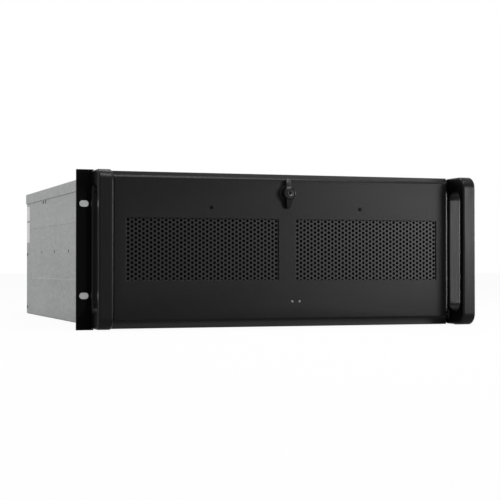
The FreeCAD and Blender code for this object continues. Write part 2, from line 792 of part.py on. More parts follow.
def make_door():
    body = new_body("door")
    half = "(door_width / 2)"
    face = sketch(body, "face", "XZ", DOOR_FRONT)
    rectangle(face, f"-1 * {half}", half, "door_bottom", "door_top")
    pad(body, face, "door_depth")
    box = body.Shape.BoundBox
    fillet(body, "folded_edges", "door_edge", lambda edge: at_limit(edge, box, 1, high=False))
    hollow = sketch(body, "hollow", "XZ", DOOR_REAR)
    rectangle(hollow, f"-1 * ({half} - door_sheet)", f"{half} - door_sheet",
              "door_bottom + door_sheet", "door_top - door_sheet")
    pocket(body, hollow, "door_depth - door_sheet", towards=-1)
    holes = sketch(body, "holes", "XZ", DOOR_FRONT)
    for side in (-1, 1):
        middle = f"{side} * window_x"
        rectangle(holes, f"{middle} - window_width / 2", f"{middle} + window_width / 2",
                  "window_z - window_height / 2", "window_z + window_height / 2")
        hexagon(holes, f"{side} * mesh_screw_x", "mesh_screw_z", "mesh_screw_radius")
        circle(holes, f"led_x + {side} * led_pitch / 2", "led_z", "led_radius + led_fit")
    circle(holes, "0", "lock_z", "lock_barrel + lock_fit")
    pocket(body, holes, "door_sheet")
    pivots = sketch(body, "pivot_holes", "YZ")
    circle(pivots, "pivot_y", PIVOT_Z, "pivot_radius + pivot_fit")
    pocket(body, pivots, "door_width + door_sheet", both=True)


# --- Perforated sheets: staggered holes behind the door's windows, one screw at the top ---

def make_mesh(side, name):
    body = new_body(f"mesh_{name}")
    plate = sketch(body, "plate", "XZ", DOOR_INNER)
    rectangle(plate, f"{side} * mesh_inner_x", f"{side} * mesh_outer_x", "mesh_bottom", "mesh_top")
    pad(body, plate, "mesh_sheet")
    screw_hole = sketch(body, "screw_hole", "XZ", DOOR_INNER)
    hexagon(screw_hole, f"{side} * mesh_screw_x", "mesh_screw_z", "mesh_screw_radius")
    pocket(body, screw_hole, "mesh_sheet")
    starts = (("even", "0", "0"), ("odd", "mesh_column_pitch", "mesh_row_pitch / 2"))
    for title, shift_x, shift_z in starts:
        first = sketch(body, f"{title}_hole", "XZ", DOOR_INNER,
                       across=f"{side} * window_x - (mesh_columns - 0.5) * mesh_column_pitch "
                              f"+ {shift_x}",
                       up=f"window_z - (mesh_rows - 0.5) * mesh_row_pitch / 2 + {shift_z}")
        hexagon(first, "0", "0", "mesh_hole")
        hole = pocket(body, first, "mesh_sheet")
        field = body.newObject("PartDesign::MultiTransform", f"{body.Label}_{title}_field")
        field.Originals = [hole]
        steps = []
        for axis, pitch, count in (("H_Axis", "2 * mesh_column_pitch", "mesh_columns"),
                                   ("V_Axis", "mesh_row_pitch", "mesh_rows")):
            line = body.newObject("PartDesign::LinearPattern", f"{field.Name}_{axis}")
            line.Direction = (first, [axis])
            tie(line, "Length", f"{pitch} * ({count} - 1)")
            tie(line, "Occurrences", count)
            steps.append(line)
        field.Transformations = steps
        body.Tip = field
        doc.recompute()


def make_mesh_screws():
    screws = []
    for side, name in ((-1, "left"), (1, "right")):
        seat = (f"{side} * mesh_screw_x", DOOR_FRONT, "mesh_screw_z")
        screws.append(screw(f"mesh_screw_{name}", seat, "+Y", "mesh_screw_head",
                            "mesh_screw_rise", "mesh_screw_radius", "mesh_screw_length"))
    grouped("mesh_screws", screws)


# --- Winged cam lock: flanged barrel, nut, knob with its core, cam and cam screw ---

def make_lock():
    core_hole = rod("lock_core_hole", "lock_core + lock_core_fit", f"{CAM_REAR} - 2 * {DOOR_FRONT}",
                    ("0", f"2 * {DOOR_FRONT}", "lock_z"), "+Y")
    flange = rod("lock_flange_disc", "lock_flange", "lock_flange_height",
                 ("0", DOOR_FRONT, "lock_z"), "-Y")
    barrel = rod("lock_barrel_rod", "lock_barrel", f"{PANEL_REAR} - {DOOR_FRONT}",
                 ("0", DOOR_FRONT, "lock_z"), "+Y")
    keep(without("lock_shell", fused("lock_outer", [flange, barrel]), core_hole), "lock_body")
    nut = prism("lock_nut_prism", "lock_nut_across / 2 / cos(30 deg)", "lock_nut_height",
                ("0", DOOR_INNER, "lock_z"), "+Y")
    bore = rod("lock_nut_bore", "lock_barrel", "lock_nut_height * 3",
               ("0", f"{DOOR_INNER} - lock_nut_height", "lock_z"), "+Y")
    keep(without("lock_nut_ring", nut, bore), "lock_nut")


# --- Knob: two wings that thin towards their tips, a round hub with its keyway, and the core ---

def make_knob():
    body = new_body("lock_knob")
    rear = f"({DOOR_FRONT} - lock_flange_height - knob_gap)"
    side_view = sketch(body, "side_view", "YZ", up="lock_z")
    shoulder = "(knob_half_length - knob_tip_round)"
    upper = [(rear, "knob_half_length"),
             (f"{rear} - knob_tip_height + knob_tip_round", "knob_half_length"),
             (f"{rear} - knob_tip_height", shoulder),
             (f"{rear} - knob_root_height", "knob_hub * 0.7")]
    polygon(side_view, upper + [(across, f"-1 * {up}") for across, up in reversed(upper)])
    wings = pad(body, side_view, "2 * knob_wing_root")
    wings.Midplane = True
    doc.recompute()
    flanks = sketch(body, "flanks", "XZ", rear, up="lock_z")
    for side, up in pairs():
        polygon(flanks, [(f"{side} * knob_wing_root", f"{up} * knob_hub / 2"),
                         (f"{side} * 2 * knob_wing_root", f"{up} * knob_hub / 2"),
                         (f"{side} * 2 * knob_wing_root", f"{up} * 2 * knob_half_length"),
                         (f"{side} * knob_wing_tip / 2", f"{up} * knob_half_length"),
                         (f"{side} * knob_wing_tip", f"{up} * {shoulder}")])
    pocket(body, flanks, "2 * knob_height", both=True)
    hub = sketch(body, "hub", "XZ", rear)
    circle(hub, "0", "lock_z", "knob_hub")
    pad(body, hub, "knob_height", towards=-1)
    box = body.Shape.BoundBox
    chamfer(body, "hub_edge", "knob_edge", lambda edge: at_limit(edge, box, 1, high=False))
    core = sketch(body, "core", "XZ", rear)
    circle(core, "0", "lock_z", "lock_core")
    pad(body, core, f"{CAM_FRONT} - {rear}")
    keyway = sketch(body, "keyway", "XZ", f"{rear} - knob_height")
    rectangle(keyway, "-keyway_width / 2", "keyway_width / 2",
              "lock_z - keyway_height / 2", "lock_z + keyway_height / 2")
    pocket(body, keyway, "keyway_depth")


# --- Cam: sheet tongue behind the panel, held on the knob's core by a screw ---

def make_cam():
    cam = new_body("lock_cam")
    plate = sketch(cam, "plate", "XZ", CAM_FRONT, up="lock_z")
    half = "(cam_width / 2)"
    inner = f"({half} - cam_corner)"
    tip = "(cam_corner - cam_length)"
    polygon(plate, [("-1 * cam_length", f"-1 * {inner}"), (tip, f"-1 * {half}"),
                    (inner, f"-1 * {half}"), (half, f"-1 * {inner}"), (half, inner),
                    (inner, half), (tip, half), ("-1 * cam_length", inner)])
    pad(cam, plate, "cam_sheet")
    keep(prism("cam_screw_head_prism", "cam_screw_head", "cam_screw_height",
               ("0", CAM_REAR, "lock_z"), "+Y"), "cam_screw")


# --- Bays: folded cage for three 5.25 inch drives, and a moulded blank in each bay ---

def make_bays():
    body = new_body("bay_cage")
    inner = "(bay_width / 2)"
    outer = f"({inner} + bay_sheet)"
    under = "(bay_z + bay_count * bay_pitch / 2 + bay_clearance)"
    bridge = sketch(body, "bridge", "XZ", PANEL_REAR, across="bay_x")
    polygon(bridge, [(outer, INNER_FLOOR), (outer, f"{under} + bay_sheet"),
                     (f"-1 * {outer}", f"{under} + bay_sheet"), (f"-1 * {outer}", INNER_FLOOR),
                     (f"-1 * {inner}", INNER_FLOOR), (f"-1 * {inner}", under),
                     (inner, under), (inner, INNER_FLOOR)])
    pad(body, bridge, "bay_cage_depth")
    feet = sketch(body, "feet", "XY", INNER_FLOOR, across="bay_x")
    for side in (-1, 1):
        rectangle(feet, f"{side} * {inner}", f"{side} * ({outer} + bay_foot)",
                  "bay_foot_start", "bay_cage_depth - bay_foot_end")
    pad(body, feet, "bay_sheet")
    slots = sketch(body, "screw_slots", "YZ", "bay_x")
    for step in range(int(SIZES["bay_count"])):
        middle = f"(bay_z + ({step} - (bay_count - 1) / 2) * bay_pitch)"
        for start in ("bay_slot_near", "bay_slot_far"):
            rectangle(slots, start, f"{start} + bay_slot_length",
                      f"{middle} - bay_slot_low", f"{middle} - bay_slot_high")
    pocket(body, slots, "bay_width + 4 * bay_sheet", both=True)

    for step in range(int(SIZES["bay_count"])):
        middle = f"(bay_z + ((bay_count - 1) / 2 - {step}) * bay_pitch)"
        cover = new_body(f"bay_cover_{step + 1}")
        half = "(bay_width / 2 - bay_clearance)"
        rise = "(bay_pitch / 2 - bay_clearance)"
        front = f"({PANEL_FRONT} - bay_cover_proud)"
        face = sketch(cover, "face", "XZ", front, across="bay_x", up=middle)
        rectangle(face, f"-1 * {half}", half, f"-1 * {rise}", rise)
        pad(cover, face, "bay_cover_depth")
        box = cover.Shape.BoundBox
        chamfer(cover, "edges", "bay_cover_edge", lambda edge: at_limit(edge, box, 1, high=False))
        hollow = sketch(cover, "hollow", "XZ", f"{front} + bay_cover_depth", across="bay_x",
                        up=middle)
        rectangle(hollow, f"-1 * ({half} - bay_cover_wall)", f"{half} - bay_cover_wall",
                  f"-1 * ({rise} - bay_cover_wall)", f"{rise} - bay_cover_wall")
        pocket(cover, hollow, "bay_cover_depth - bay_cover_wall", towards=-1)


# --- Drive cage: folded box for 3.5 inch drives, standing on the floor behind the front fan ---

def make_drive_cage():
    body = new_body("drive_cage")
    inner = "(drive_width / 2)"
    outer = f"({inner} + drive_sheet)"
    top = f"({INNER_FLOOR} + drive_cage_height)"
    shell = sketch(body, "shell", "XZ", "drive_y", across="drive_x")
    polygon(shell, [(outer, INNER_FLOOR), (outer, top), (f"-1 * {outer}", top),
                    (f"-1 * {outer}", INNER_FLOOR), (f"-1 * {inner}", INNER_FLOOR),
                    (f"-1 * {inner}", f"{top} - drive_sheet"), (inner, f"{top} - drive_sheet"),
                    (inner, INNER_FLOOR)])
    pad(body, shell, "drive_cage_depth")
    feet = sketch(body, "feet", "XY", INNER_FLOOR, across="drive_x")
    for side in (-1, 1):
        rectangle(feet, f"{side} * {inner}", f"{side} * ({outer} + drive_foot)",
                  "drive_y + drive_foot_inset",
                  "drive_y + drive_cage_depth - drive_foot_inset")
    pad(body, feet, "drive_sheet")
    windows = sketch(body, "side_windows", "YZ", "drive_x")
    for step in range(int(SIZES["drive_bays"])):
        low = (f"{INNER_FLOOR} + drive_window_rise"
               f" + {step} * (drive_cage_height - drive_window_rise) / drive_bays")
        rectangle(windows, "drive_y + drive_window_inset",
                  "drive_y + drive_cage_depth - drive_window_inset",
                  low, f"{low} + drive_pitch / 2")
    pocket(body, windows, "drive_width + 4 * drive_sheet", both=True)


# --- Fans: square frame with struts and motor plate, and a rotor with raked blades ---

def make_fan(name, fan_x, fan_y, fan_z, kind):
    size, hole, pitch, hub = (f"{kind}_fan_{item}" for item in ("size", "hole", "pitch", "hub"))
    frame = new_body(f"{name}_frame")
    square = sketch(frame, "square", "XZ", fan_y, across=fan_x, up=fan_z)
    rectangle(square, f"-{size} / 2", f"{size} / 2", f"-{size} / 2", f"{size} / 2")
    regular(square, "0", "0", hole, BORE_SIDES)
    for across, up in pairs():
        hexagon(square, f"{across} * {pitch} / 2", f"{up} * {pitch} / 2", "screw_radius")
    pad(frame, square, "fan_depth")
    box = frame.Shape.BoundBox
    chamfer(frame, "corners", "fan_corner",
            lambda edge: runs_along(edge, 1) and at_limit(edge, box, 0) and at_limit(edge, box, 2))
    plate_front = f"({fan_y} + fan_depth - fan_plate)"
    struts = sketch(frame, "struts", "XZ", plate_front, across=fan_x, up=fan_z)
    rectangle(struts, f"-{hole} - fan_root", f"{hole} + fan_root", "-fan_strut / 2", "fan_strut / 2")
    pad(frame, struts, "fan_plate")
    uprights = sketch(frame, "uprights", "XZ", plate_front, across=fan_x, up=fan_z)
    rectangle(uprights, "-fan_strut / 2", "fan_strut / 2", f"-{hole} - fan_root",
              f"{hole} + fan_root")
    pad(frame, uprights, "fan_plate")
    motor = sketch(frame, "motor_plate", "XZ", plate_front, across=fan_x, up=fan_z)
    regular(motor, "0", "0", hub, HUB_SIDES)
    pad(frame, motor, "fan_plate")

    rotor = new_body(f"{name}_rotor")
    hub_rear = f"({plate_front} - fan_gap)"
    cup = sketch(rotor, "hub", "XZ", hub_rear, across=fan_x, up=fan_z)
    regular(cup, "0", "0", f"({hub} - fan_blade_inset)", HUB_SIDES)
    pad(rotor, cup, "fan_depth - fan_plate - 2 * fan_gap - fan_blade_inset", towards=-1)
    blade = sketch(rotor, "blade", "YZ", f"{fan_x} + {hub} - fan_root", up=fan_z)
    reach = "(fan_depth - fan_plate - 2 * fan_gap - 3 * fan_blade_inset)"
    rear = f"({hub_rear} - fan_blade_inset)"
    rake = f"({reach} * fan_blade_rake)"
    polygon(blade, [(f"{rear} - {reach}", f"-{rake} / 2"),
                    (f"{rear} - {reach} / 2", f"{rake} / 10"),
                    (rear, f"{rake} / 2"),
                    (rear, f"{rake} / 2 + fan_blade"),
                    (f"{rear} - {reach} / 2", f"{rake} / 10 + fan_blade"),
                    (f"{rear} - {reach}", f"-{rake} / 2 + fan_blade")])
    first = pad(rotor, blade, f"{hole} - fan_tip_gap - fan_ring_gap - {hub} + fan_root")
    wheel = rotor.newObject("PartDesign::PolarPattern", f"{rotor.Label}_wheel")
    wheel.Originals = [first]
    wheel.Axis = (cup, ["N_Axis"])
    wheel.Angle = 360
    tie(wheel, "Occurrences", "fan_blades")
    rotor.Tip = wheel
    doc.recompute()


def make_fans():
    make_fan("front_fan", "front_fan_x", PANEL_REAR, "0", "front")
    front = []
    for number, (across, up) in enumerate(pairs()):
        seat = (f"front_fan_x + {across} * front_fan_pitch / 2", PANEL_FRONT,
                f"{up} * front_fan_pitch / 2")
        front.append(screw(f"front_fan_screw_{number + 1}", seat, "+Y", "screw_head",
                           "screw_head_height", "screw_radius", "screw_length"))
    grouped("front_fan_screws", front)
    rear = []
    for side, name in ((-1, "left"), (1, "right")):
        fan_x = f"(port_x + {side} * rear_fan_pitch_x / 2)"
        make_fan(f"rear_fan_{name}", fan_x, f"({REAR_WALL} - fan_depth)", "rear_fan_z", "rear")
        for number, (across, up) in enumerate(pairs()):
            seat = (f"{fan_x} + {across} * rear_fan_pitch / 2", "body_depth",
                    f"rear_fan_z + {up} * rear_fan_pitch / 2")
            rear.append(screw(f"rear_fan_{name}_screw_{number + 1}", seat, "-Y", "screw_head",
                              "screw_head_height", "screw_radius", "screw_length"))
    grouped("rear_fan_screws", rear)


# --- Slot covers: seven bracket blanks inside the rear wall, screwed down on the ledge ---

def make_slot_covers():
    screws = []
    inside = f"({REAR_WALL} - blank_sheet)"
    rear = "(body_depth + ledge_depth - blank_sheet)"
    for step in range(int(SIZES["slot_count"])):
        middle = f"(slot_first_x - {step} * slot_pitch)"
        body = new_body(f"slot_cover_{step + 1}")
        bent = sketch(body, "bent_strip", "YZ", f"{middle} - blank_width / 2")
        polygon(bent, [(inside, "slot_bottom - blank_overlap"),
                       (REAR_WALL, "slot_bottom - blank_overlap"), (REAR_WALL, "ledge_z"),
                       (rear, "ledge_z"), (rear, "ledge_z + blank_sheet"),
                       (inside, "ledge_z + blank_sheet")])
        pad(body, bent, "blank_width")
        hole = sketch(body, "screw_hole", "XY", "ledge_z")
        hexagon(hole, middle, "body_depth + ledge_depth / 2", "screw_radius")
        pocket(body, hole, "blank_sheet")
        seat = (middle, "body_depth + ledge_depth / 2", "ledge_z + blank_sheet")
        screws.append(screw(f"slot_screw_{step + 1}", seat, "-Z", "screw_head",
                            "screw_head_height", "screw_radius", "blank_sheet + tub_sheet"))
    grouped("slot_screws", screws)


# --- Board posts: nine hexagonal brass posts on the floor ---

def make_board_posts():
    posts = []
    for row in range(3):
        for column in (-1, 0, 1):
            start = (f"-1 * post_x + {column} * post_pitch_x + body_width / 10",
                     f"{REAR_WALL} - post_rear_gap - {row} * post_pitch_y", INNER_FLOOR)
            posts.append(prism(f"board_post_{row}_{column + 1}", "post_radius", "post_height",
                               start, "+Z"))
    grouped("board_posts", posts)


# --- Front controls: circuit board on posts, two buttons, two indicator lenses, two USB sockets ---

def make_controls():
    left = "(board_x - board_width / 2)"
    right = "(board_x + board_width / 2)"
    low = "(board_z - board_height / 2)"
    high = "(board_z + board_height / 2)"
    rear = "(board_y + board_sheet)"
    parts = [block("board_sheet_block", (left, "board_y", low), (right, rear, high))]
    for title, middle in (("power", "power_button_z"), ("reset", "reset_button_z")):
        parts.append(block(f"{title}_switch",
                           ("button_x - switch_size / 2", "board_y - switch_height",
                            f"{middle} - switch_size / 2"),
                           ("button_x + switch_size / 2", "board_y",
                            f"{middle} + switch_size / 2")))
    keep(fused("control_board_solid", parts), "control_board")

    posts = []
    for number, (across, up) in enumerate(pairs()):
        start = (f"board_x + {across} * (board_width / 2 - control_post_inset)", PANEL_REAR,
                 f"board_z + {up} * (board_height / 2 - control_post_inset)")
        posts.append(prism(f"control_post_{number + 1}", "post_radius",
                           f"board_y - {PANEL_REAR}", start, "+Y"))
    grouped("control_posts", posts)

    for title in ("power", "reset"):
        middle = f"{title}_button_z"
        front = f"({PANEL_FRONT} - button_proud)"
        cap = rod(f"{title}_cap", f"{title}_button_radius",
                  f"{PANEL_REAR} + button_fit - {front}", ("button_x", front, middle), "+Y")
        flange_front = f"({PANEL_REAR} + button_fit)"
        flange = prism(f"{title}_flange", f"({title}_button_radius + button_flange) / cos(30 deg)",
                       "button_flange_height", ("button_x", flange_front, middle), "+Y")
        stem_front = f"({flange_front} + button_flange_height)"
        stem_rear = "(board_y - switch_height - button_travel - button_fit)"
        stem = prism(f"{title}_stem", "button_stem", f"{stem_rear} - {stem_front}",
                     ("button_x", stem_front, middle), "+Y")
        keep(fused(f"{title}_plunger", [cap, flange, stem]), f"{title}_button")

    lenses = []
    sockets = []
    for side, name in ((-1, "first"), (1, "second")):
        lens_front = f"({PANEL_FRONT} - led_proud)"
        lenses.append(prism(f"lens_{name}", "led_radius", f"board_y - {lens_front}",
                          (f"led_x + {side} * led_pitch / 2", lens_front, "led_z"), "+Y"))
        middle = f"(usb_z + {side} * usb_pitch / 2)"
        usb_left = "(usb_x - usb_width / 2)"
        usb_right = "(usb_x + usb_width / 2)"
        front = f"({PANEL_FRONT} - usb_proud)"
        shell = block(f"usb_shell_{name}",
                      (usb_left, front, f"{middle} - usb_height / 2"),
                      (usb_right, "board_y", f"{middle} + usb_height / 2"))
        mouth = block(f"usb_mouth_{name}",
                      (f"{usb_left} + usb_shell", f"{front} - usb_shell",
                       f"{middle} - usb_height / 2 + usb_shell"),
                      (f"{usb_right} - usb_shell", "board_y - usb_tongue_inset",
                       f"{middle} + usb_height / 2 - usb_shell"))
        tongue = block(f"usb_tongue_{name}",
                       (f"{usb_left} + usb_tongue_inset", f"{front} + usb_tongue_inset",
                        f"{middle} + usb_tongue_low"),
                       (f"{usb_right} - usb_tongue_inset", "board_y",
                        f"{middle} + usb_tongue_high"))
        can = without(f"usb_can_{name}", shell, mouth)
        sockets.append(fused(f"usb_socket_{name}", [can, tongue]))
    grouped("led_lenses", lenses)
    grouped("usb_sockets", sockets)


def check_and_write():
    """Recompute, look at every object's state and shape, and write one STEP file a piece."""
    doc.recompute()
    for item in doc.Objects:
        if "Invalid" in item.State or "Error" in item.State:
            raise RuntimeError(f"{item.Name} failed: {item.State}")
    os.makedirs("parts", exist_ok=True)
    for item in PIECES:
        shape = item.Shape
        if shape.isNull() or not shape.isValid() or not shape.Solids:
            raise RuntimeError(f"{item.Label} has no valid solid")
        shape.exportStep(os.path.join("parts", item.Label + ".step"))


make_tub()
make_rear_panel()
make_cover()
make_panel()
make_ear(-1, "left")
make_ear(1, "right")
make_handle(-1, "left")
make_handle(1, "right")
make_handle_screws()
make_door()
make_mesh(-1, "left")
make_mesh(1, "right")
make_mesh_screws()
make_lock()
make_knob()
make_cam()
make_bays()
make_drive_cage()
make_fans()
make_slot_covers()
make_board_posts()
make_controls()
check_and_write()
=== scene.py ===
import bpy
import bmesh
import math
from mathutils import Euler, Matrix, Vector
from mathutils.geometry import delaunay_2d_cdt


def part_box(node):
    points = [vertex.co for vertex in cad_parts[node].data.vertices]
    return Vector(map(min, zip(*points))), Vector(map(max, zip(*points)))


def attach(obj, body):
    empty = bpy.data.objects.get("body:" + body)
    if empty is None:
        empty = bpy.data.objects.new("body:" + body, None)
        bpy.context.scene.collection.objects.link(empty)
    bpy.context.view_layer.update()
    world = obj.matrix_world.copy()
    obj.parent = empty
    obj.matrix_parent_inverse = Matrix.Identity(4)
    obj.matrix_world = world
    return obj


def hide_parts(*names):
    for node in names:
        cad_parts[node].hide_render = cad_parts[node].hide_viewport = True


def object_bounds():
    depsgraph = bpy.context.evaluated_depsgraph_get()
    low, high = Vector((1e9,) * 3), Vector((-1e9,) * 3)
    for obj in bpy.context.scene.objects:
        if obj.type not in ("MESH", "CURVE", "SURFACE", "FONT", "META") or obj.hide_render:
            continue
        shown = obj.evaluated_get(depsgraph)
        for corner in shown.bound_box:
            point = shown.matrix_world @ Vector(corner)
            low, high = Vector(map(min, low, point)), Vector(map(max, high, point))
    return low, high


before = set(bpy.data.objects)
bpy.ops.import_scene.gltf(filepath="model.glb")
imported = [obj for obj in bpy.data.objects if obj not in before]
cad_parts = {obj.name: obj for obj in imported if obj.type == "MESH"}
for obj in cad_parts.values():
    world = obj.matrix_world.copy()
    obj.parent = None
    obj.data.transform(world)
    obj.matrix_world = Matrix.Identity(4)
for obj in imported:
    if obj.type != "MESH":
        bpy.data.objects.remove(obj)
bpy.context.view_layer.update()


# --- Tub: floor, sides and lips ---
# One sheet of 1.2 mm galvanised steel, punched and folded up into floor, sides, top lips and
# front flanges. The zinc is bare: a dull grey with a faint spangle and rolling marks along it.

class Wire:
    """An output of a node. Sums written on it add Math nodes, and node() adds any other node."""

    def __init__(self, tree, socket=None):
        self.tree = tree
        self.socket = socket

    def node(self, kind, settings=(), values=(), output=0):
        made = self.tree.nodes.new(kind)
        for name, value in dict(settings).items():
            if name == "stops":
                ramp = made.color_ramp
                for number, (place, colour) in enumerate(value):
                    stop = ramp.elements[number] if number < 2 else ramp.elements.new(place)
                    stop.position = place
                    stop.color = (*colour, 1)
            else:
                setattr(made, name, value)
        for name, value in dict(values).items():
            if isinstance(value, Wire):
                self.tree.links.new(value.socket, made.inputs[name])
            elif isinstance(value, tuple) and len(made.inputs[name].default_value) == 4:
                made.inputs[name].default_value = (*value, 1)
            else:
                made.inputs[name].default_value = value
        return Wire(self.tree, made.outputs[output] if made.outputs else None)

    def sum(self, operation, first, second):
        return self.node("ShaderNodeMath", {"operation": operation}, {0: first, 1: second})

    def __add__(self, other):
        return self.sum("ADD", self, other)

    def __sub__(self, other):
        return self.sum("SUBTRACT", self, other)

    def __rsub__(self, other):
        return self.sum("SUBTRACT", other, self)

    def __mul__(self, other):
        return self.sum("MULTIPLY", self, other)

    __radd__ = __add__
    __rmul__ = __mul__


def new_finish(name):
    """An empty material, and the wire on which its nodes are written."""
    finish = bpy.data.materials.new(name)
    finish.use_nodes = True
    finish.node_tree.nodes.clear()
    return finish, Wire(finish.node_tree)


def grain(wire, size, stretch=(1, 1, 1), detail=3.0):
    """Noise on the piece's own coordinates, with spots of this size in metres."""
    place = wire.node("ShaderNodeTexCoord", output=3)
    place = wire.node("ShaderNodeMapping", {}, {"Vector": place, "Scale": stretch})
    return wire.node("ShaderNodeTexNoise", {}, {"Vector": place, "Scale": 1 / size,
                                                "Detail": detail, "Roughness": 0.6})


def between(wire, mask, low, high):
    """A colour that goes from low to high with the mask."""
    return wire.node("ShaderNodeMix", {"data_type": "RGBA"}, {0: mask, 6: low, 7: high}, 2)


def cover_with(wire, colour, roughness, relief=None, depth=0.0, **fixed):
    """End a material: its surface, with the relief's depth in metres as a bump."""
    values = {"Base Color": colour, "Roughness": roughness}
    values.update({name.replace("_", " "): value for name, value in fixed.items()})
    if relief:
        values["Normal"] = wire.node("ShaderNodeBump", {}, {"Height": relief, "Distance": depth,
                                                            "Strength": 1.0})
    surface = wire.node("ShaderNodeBsdfPrincipled", {}, values)
    wire.node("ShaderNodeOutputMaterial", {}, {"Surface": surface})


galvanised, wire = new_finish("galvanised_steel")
spangle = wire.node("ShaderNodeTexVoronoi", {},
                    {"Vector": wire.node("ShaderNodeTexCoord", output=3), "Scale": 300.0}, 1)
spangle = wire.node("ShaderNodeSeparateColor", {}, {"Color": spangle})
speckle = grain(wire, 0.0035, (1, 0.25, 1))
clouds = grain(wire, 0.12)
tone = spangle * 0.2 + speckle * 0.62 + clouds * 0.18
cover_with(wire, between(wire, tone, (0.09, 0.092, 0.095), (0.50, 0.505, 0.51)),
           speckle * 0.16 + spangle * 0.06 + 0.33, speckle, 0.00004, Metallic=0.85)


JOIN = 0.000002


def flattened(solid):
    """The same solid, with faces that lie in one plane made one."""
    bmesh.ops.dissolve_limit(solid, angle_limit=math.radians(0.5), verts=solid.verts,
                             edges=solid.edges)
    return solid


def solid_of(node):
    """The node's solid as a closed mesh, its loose triangles joined and its flats made whole."""
    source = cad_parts[node]
    solid = bmesh.new()
    solid.from_mesh(source.data)
    solid.transform(source.matrix_world)
    bmesh.ops.remove_doubles(solid, verts=solid.verts, dist=JOIN)
    return flattened(solid)


def new_piece(name, mesh):
    """A piece of this name from a mesh that stands in its place already."""
    if isinstance(mesh, bmesh.types.BMesh):
        made = bpy.data.meshes.new(name)
        mesh.to_mesh(made)
        mesh.free()
        mesh = made
    piece = bpy.data.objects.new(name, mesh)
    bpy.context.scene.collection.objects.link(piece)
    return piece


def smooth(piece, angle=35):
    """Shade the piece smooth, but for edges sharper than this."""
    piece.data.polygons.foreach_set("use_smooth", [True] * len(piece.data.polygons))
    piece.data.set_sharp_from_angle(angle=math.radians(angle))
    return piece


def fit(piece, finish, body, slot, *nodes):
    """Give the piece its finish and its body, and let it stand for these nodes."""
    piece.data.materials.clear()
    piece.data.materials.append(finish)
    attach(piece, body)
    if nodes:
        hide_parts(*nodes)
    return piece


def eased(node, width, finish, body, slot, steps=2, solid=None, sharp=35):
    """The node's piece with its edges rounded off by this width, as folding or moulding does."""
    piece = smooth(new_piece(node + "_eased", solid or solid_of(node)), sharp)
    bevel = piece.modifiers.new("eased_edges", "BEVEL")
    bevel.width = width
    bevel.segments = steps
    bevel.use_clamp_overlap = False
    bevel.limit_method = "ANGLE"
    bevel.angle_limit = math.radians(sharp)
    bevel.harden_normals = True
    return fit(piece, finish, body, slot, node)


def paint(node, finish):
    """Give a node that shows as it is its finish."""
    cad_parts[node].data.materials.clear()
    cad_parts[node].data.materials.append(finish)


paint("tub", galvanised)


# --- Rear panel, its rivets, and what is on the sides ---
# A punched and folded panel with openings for power supply, ports, fans and cards, riveted in
# between the tub's sides. Two bare paper labels are stuck on the left side next to it. Each side
# has two shallow pressed steps, a seam near the front, and two small tabs below the cover. The
# tabs wear the dark rivet steel as painted shade, for the shadow that each lanced tab makes.

paint("rear_panel", galvanised)

# Dark worn steel for the rivets and the seam; on the cover tabs the same finish is painted shade.
rivet_steel_and_shade, wire = new_finish("rivet_steel_and_shade")
worn = grain(wire, 0.002)
cover_with(wire, between(wire, worn, (0.10, 0.10, 0.105), (0.18, 0.18, 0.185)),
           worn * 0.2 + 0.4, Metallic=0.9)


def turned(profile, sides):
    """A closed shape turned about Z from pairs of radius and height, from its low end up."""
    shape = bmesh.new()
    rings = []
    for radius, height in profile:
        if radius == 0:
            rings.append([shape.verts.new((0, 0, height))] * sides)
        else:
            rings.append([shape.verts.new((radius * math.cos(2 * math.pi * step / sides),
                                           radius * math.sin(2 * math.pi * step / sides), height))
                          for step in range(sides)])
    for low, high in zip(rings, rings[1:]):
        for step in range(sides):
            after = (step + 1) % sides
            corners = [low[step], low[after], high[after], high[step]]
            corners = [corner for number, corner in enumerate(corners)
                       if corner not in corners[:number]]
            if len(corners) > 2:
                shape.faces.new(corners)
    return shape


def growth(name, inputs):
    """A geometry tree with these named inputs, and their wires."""
    tree = bpy.data.node_groups.new(name, "GeometryNodeTree")
    tree.interface.new_socket("Geometry", in_out="OUTPUT", socket_type="NodeSocketGeometry")
    tree.interface.new_socket("Geometry", in_out="INPUT", socket_type="NodeSocketGeometry")
    for label, kind in inputs.items():
        tree.interface.new_socket(label, in_out="INPUT", socket_type="NodeSocket" + kind)
    source = tree.nodes.new("NodeGroupInput")
    return tree, {item.name: Wire(tree, item) for item in source.outputs if item.name}


def grown(name, tree, points, values):
    """The plain mesh that a tree makes from these points and values."""
    holder = new_piece(name + "_points", points)
    modifier = holder.modifiers.new("growth", "NODES")
    modifier.node_group = tree
    for item in tree.interface.items_tree:
        if item.in_out == "INPUT" and item.name in values:
            modifier[item.identifier] = values[item.name]
    bpy.context.view_layer.update()
    ready = holder.evaluated_get(bpy.context.evaluated_depsgraph_get())
    mesh = bpy.data.meshes.new_from_object(ready)
    mesh.name = name
    bpy.data.objects.remove(holder)
    return mesh


fastener_tree, given = growth("fasteners", {"Fastener": "Object", "Size": "Float",
                                            "Finish": "Material"})
start = given["Geometry"]
facing = start.node("GeometryNodeInputNamedAttribute", {"data_type": "FLOAT_VECTOR"},
                    {"Name": "facing"})
turn = start.node("FunctionNodeAlignRotationToVector", {"axis": "Z"}, {"Vector": facing})
one = start.node("GeometryNodeObjectInfo", {"transform_space": "ORIGINAL"},
                 {"Object": given["Fastener"]}, "Geometry")
size = start.node("ShaderNodeCombineXYZ", {},
                  {"X": given["Size"], "Y": given["Size"], "Z": given["Size"]})
many = start.node("GeometryNodeInstanceOnPoints", {},
                  {"Points": start, "Instance": one, "Rotation": turn, "Scale": size})
many = start.node("GeometryNodeRealizeInstances", {}, {"Geometry": many})
many = start.node("GeometryNodeSetMaterial", {}, {"Geometry": many, "Material": given["Finish"]})
start.node("NodeGroupOutput", {}, {"Geometry": many})


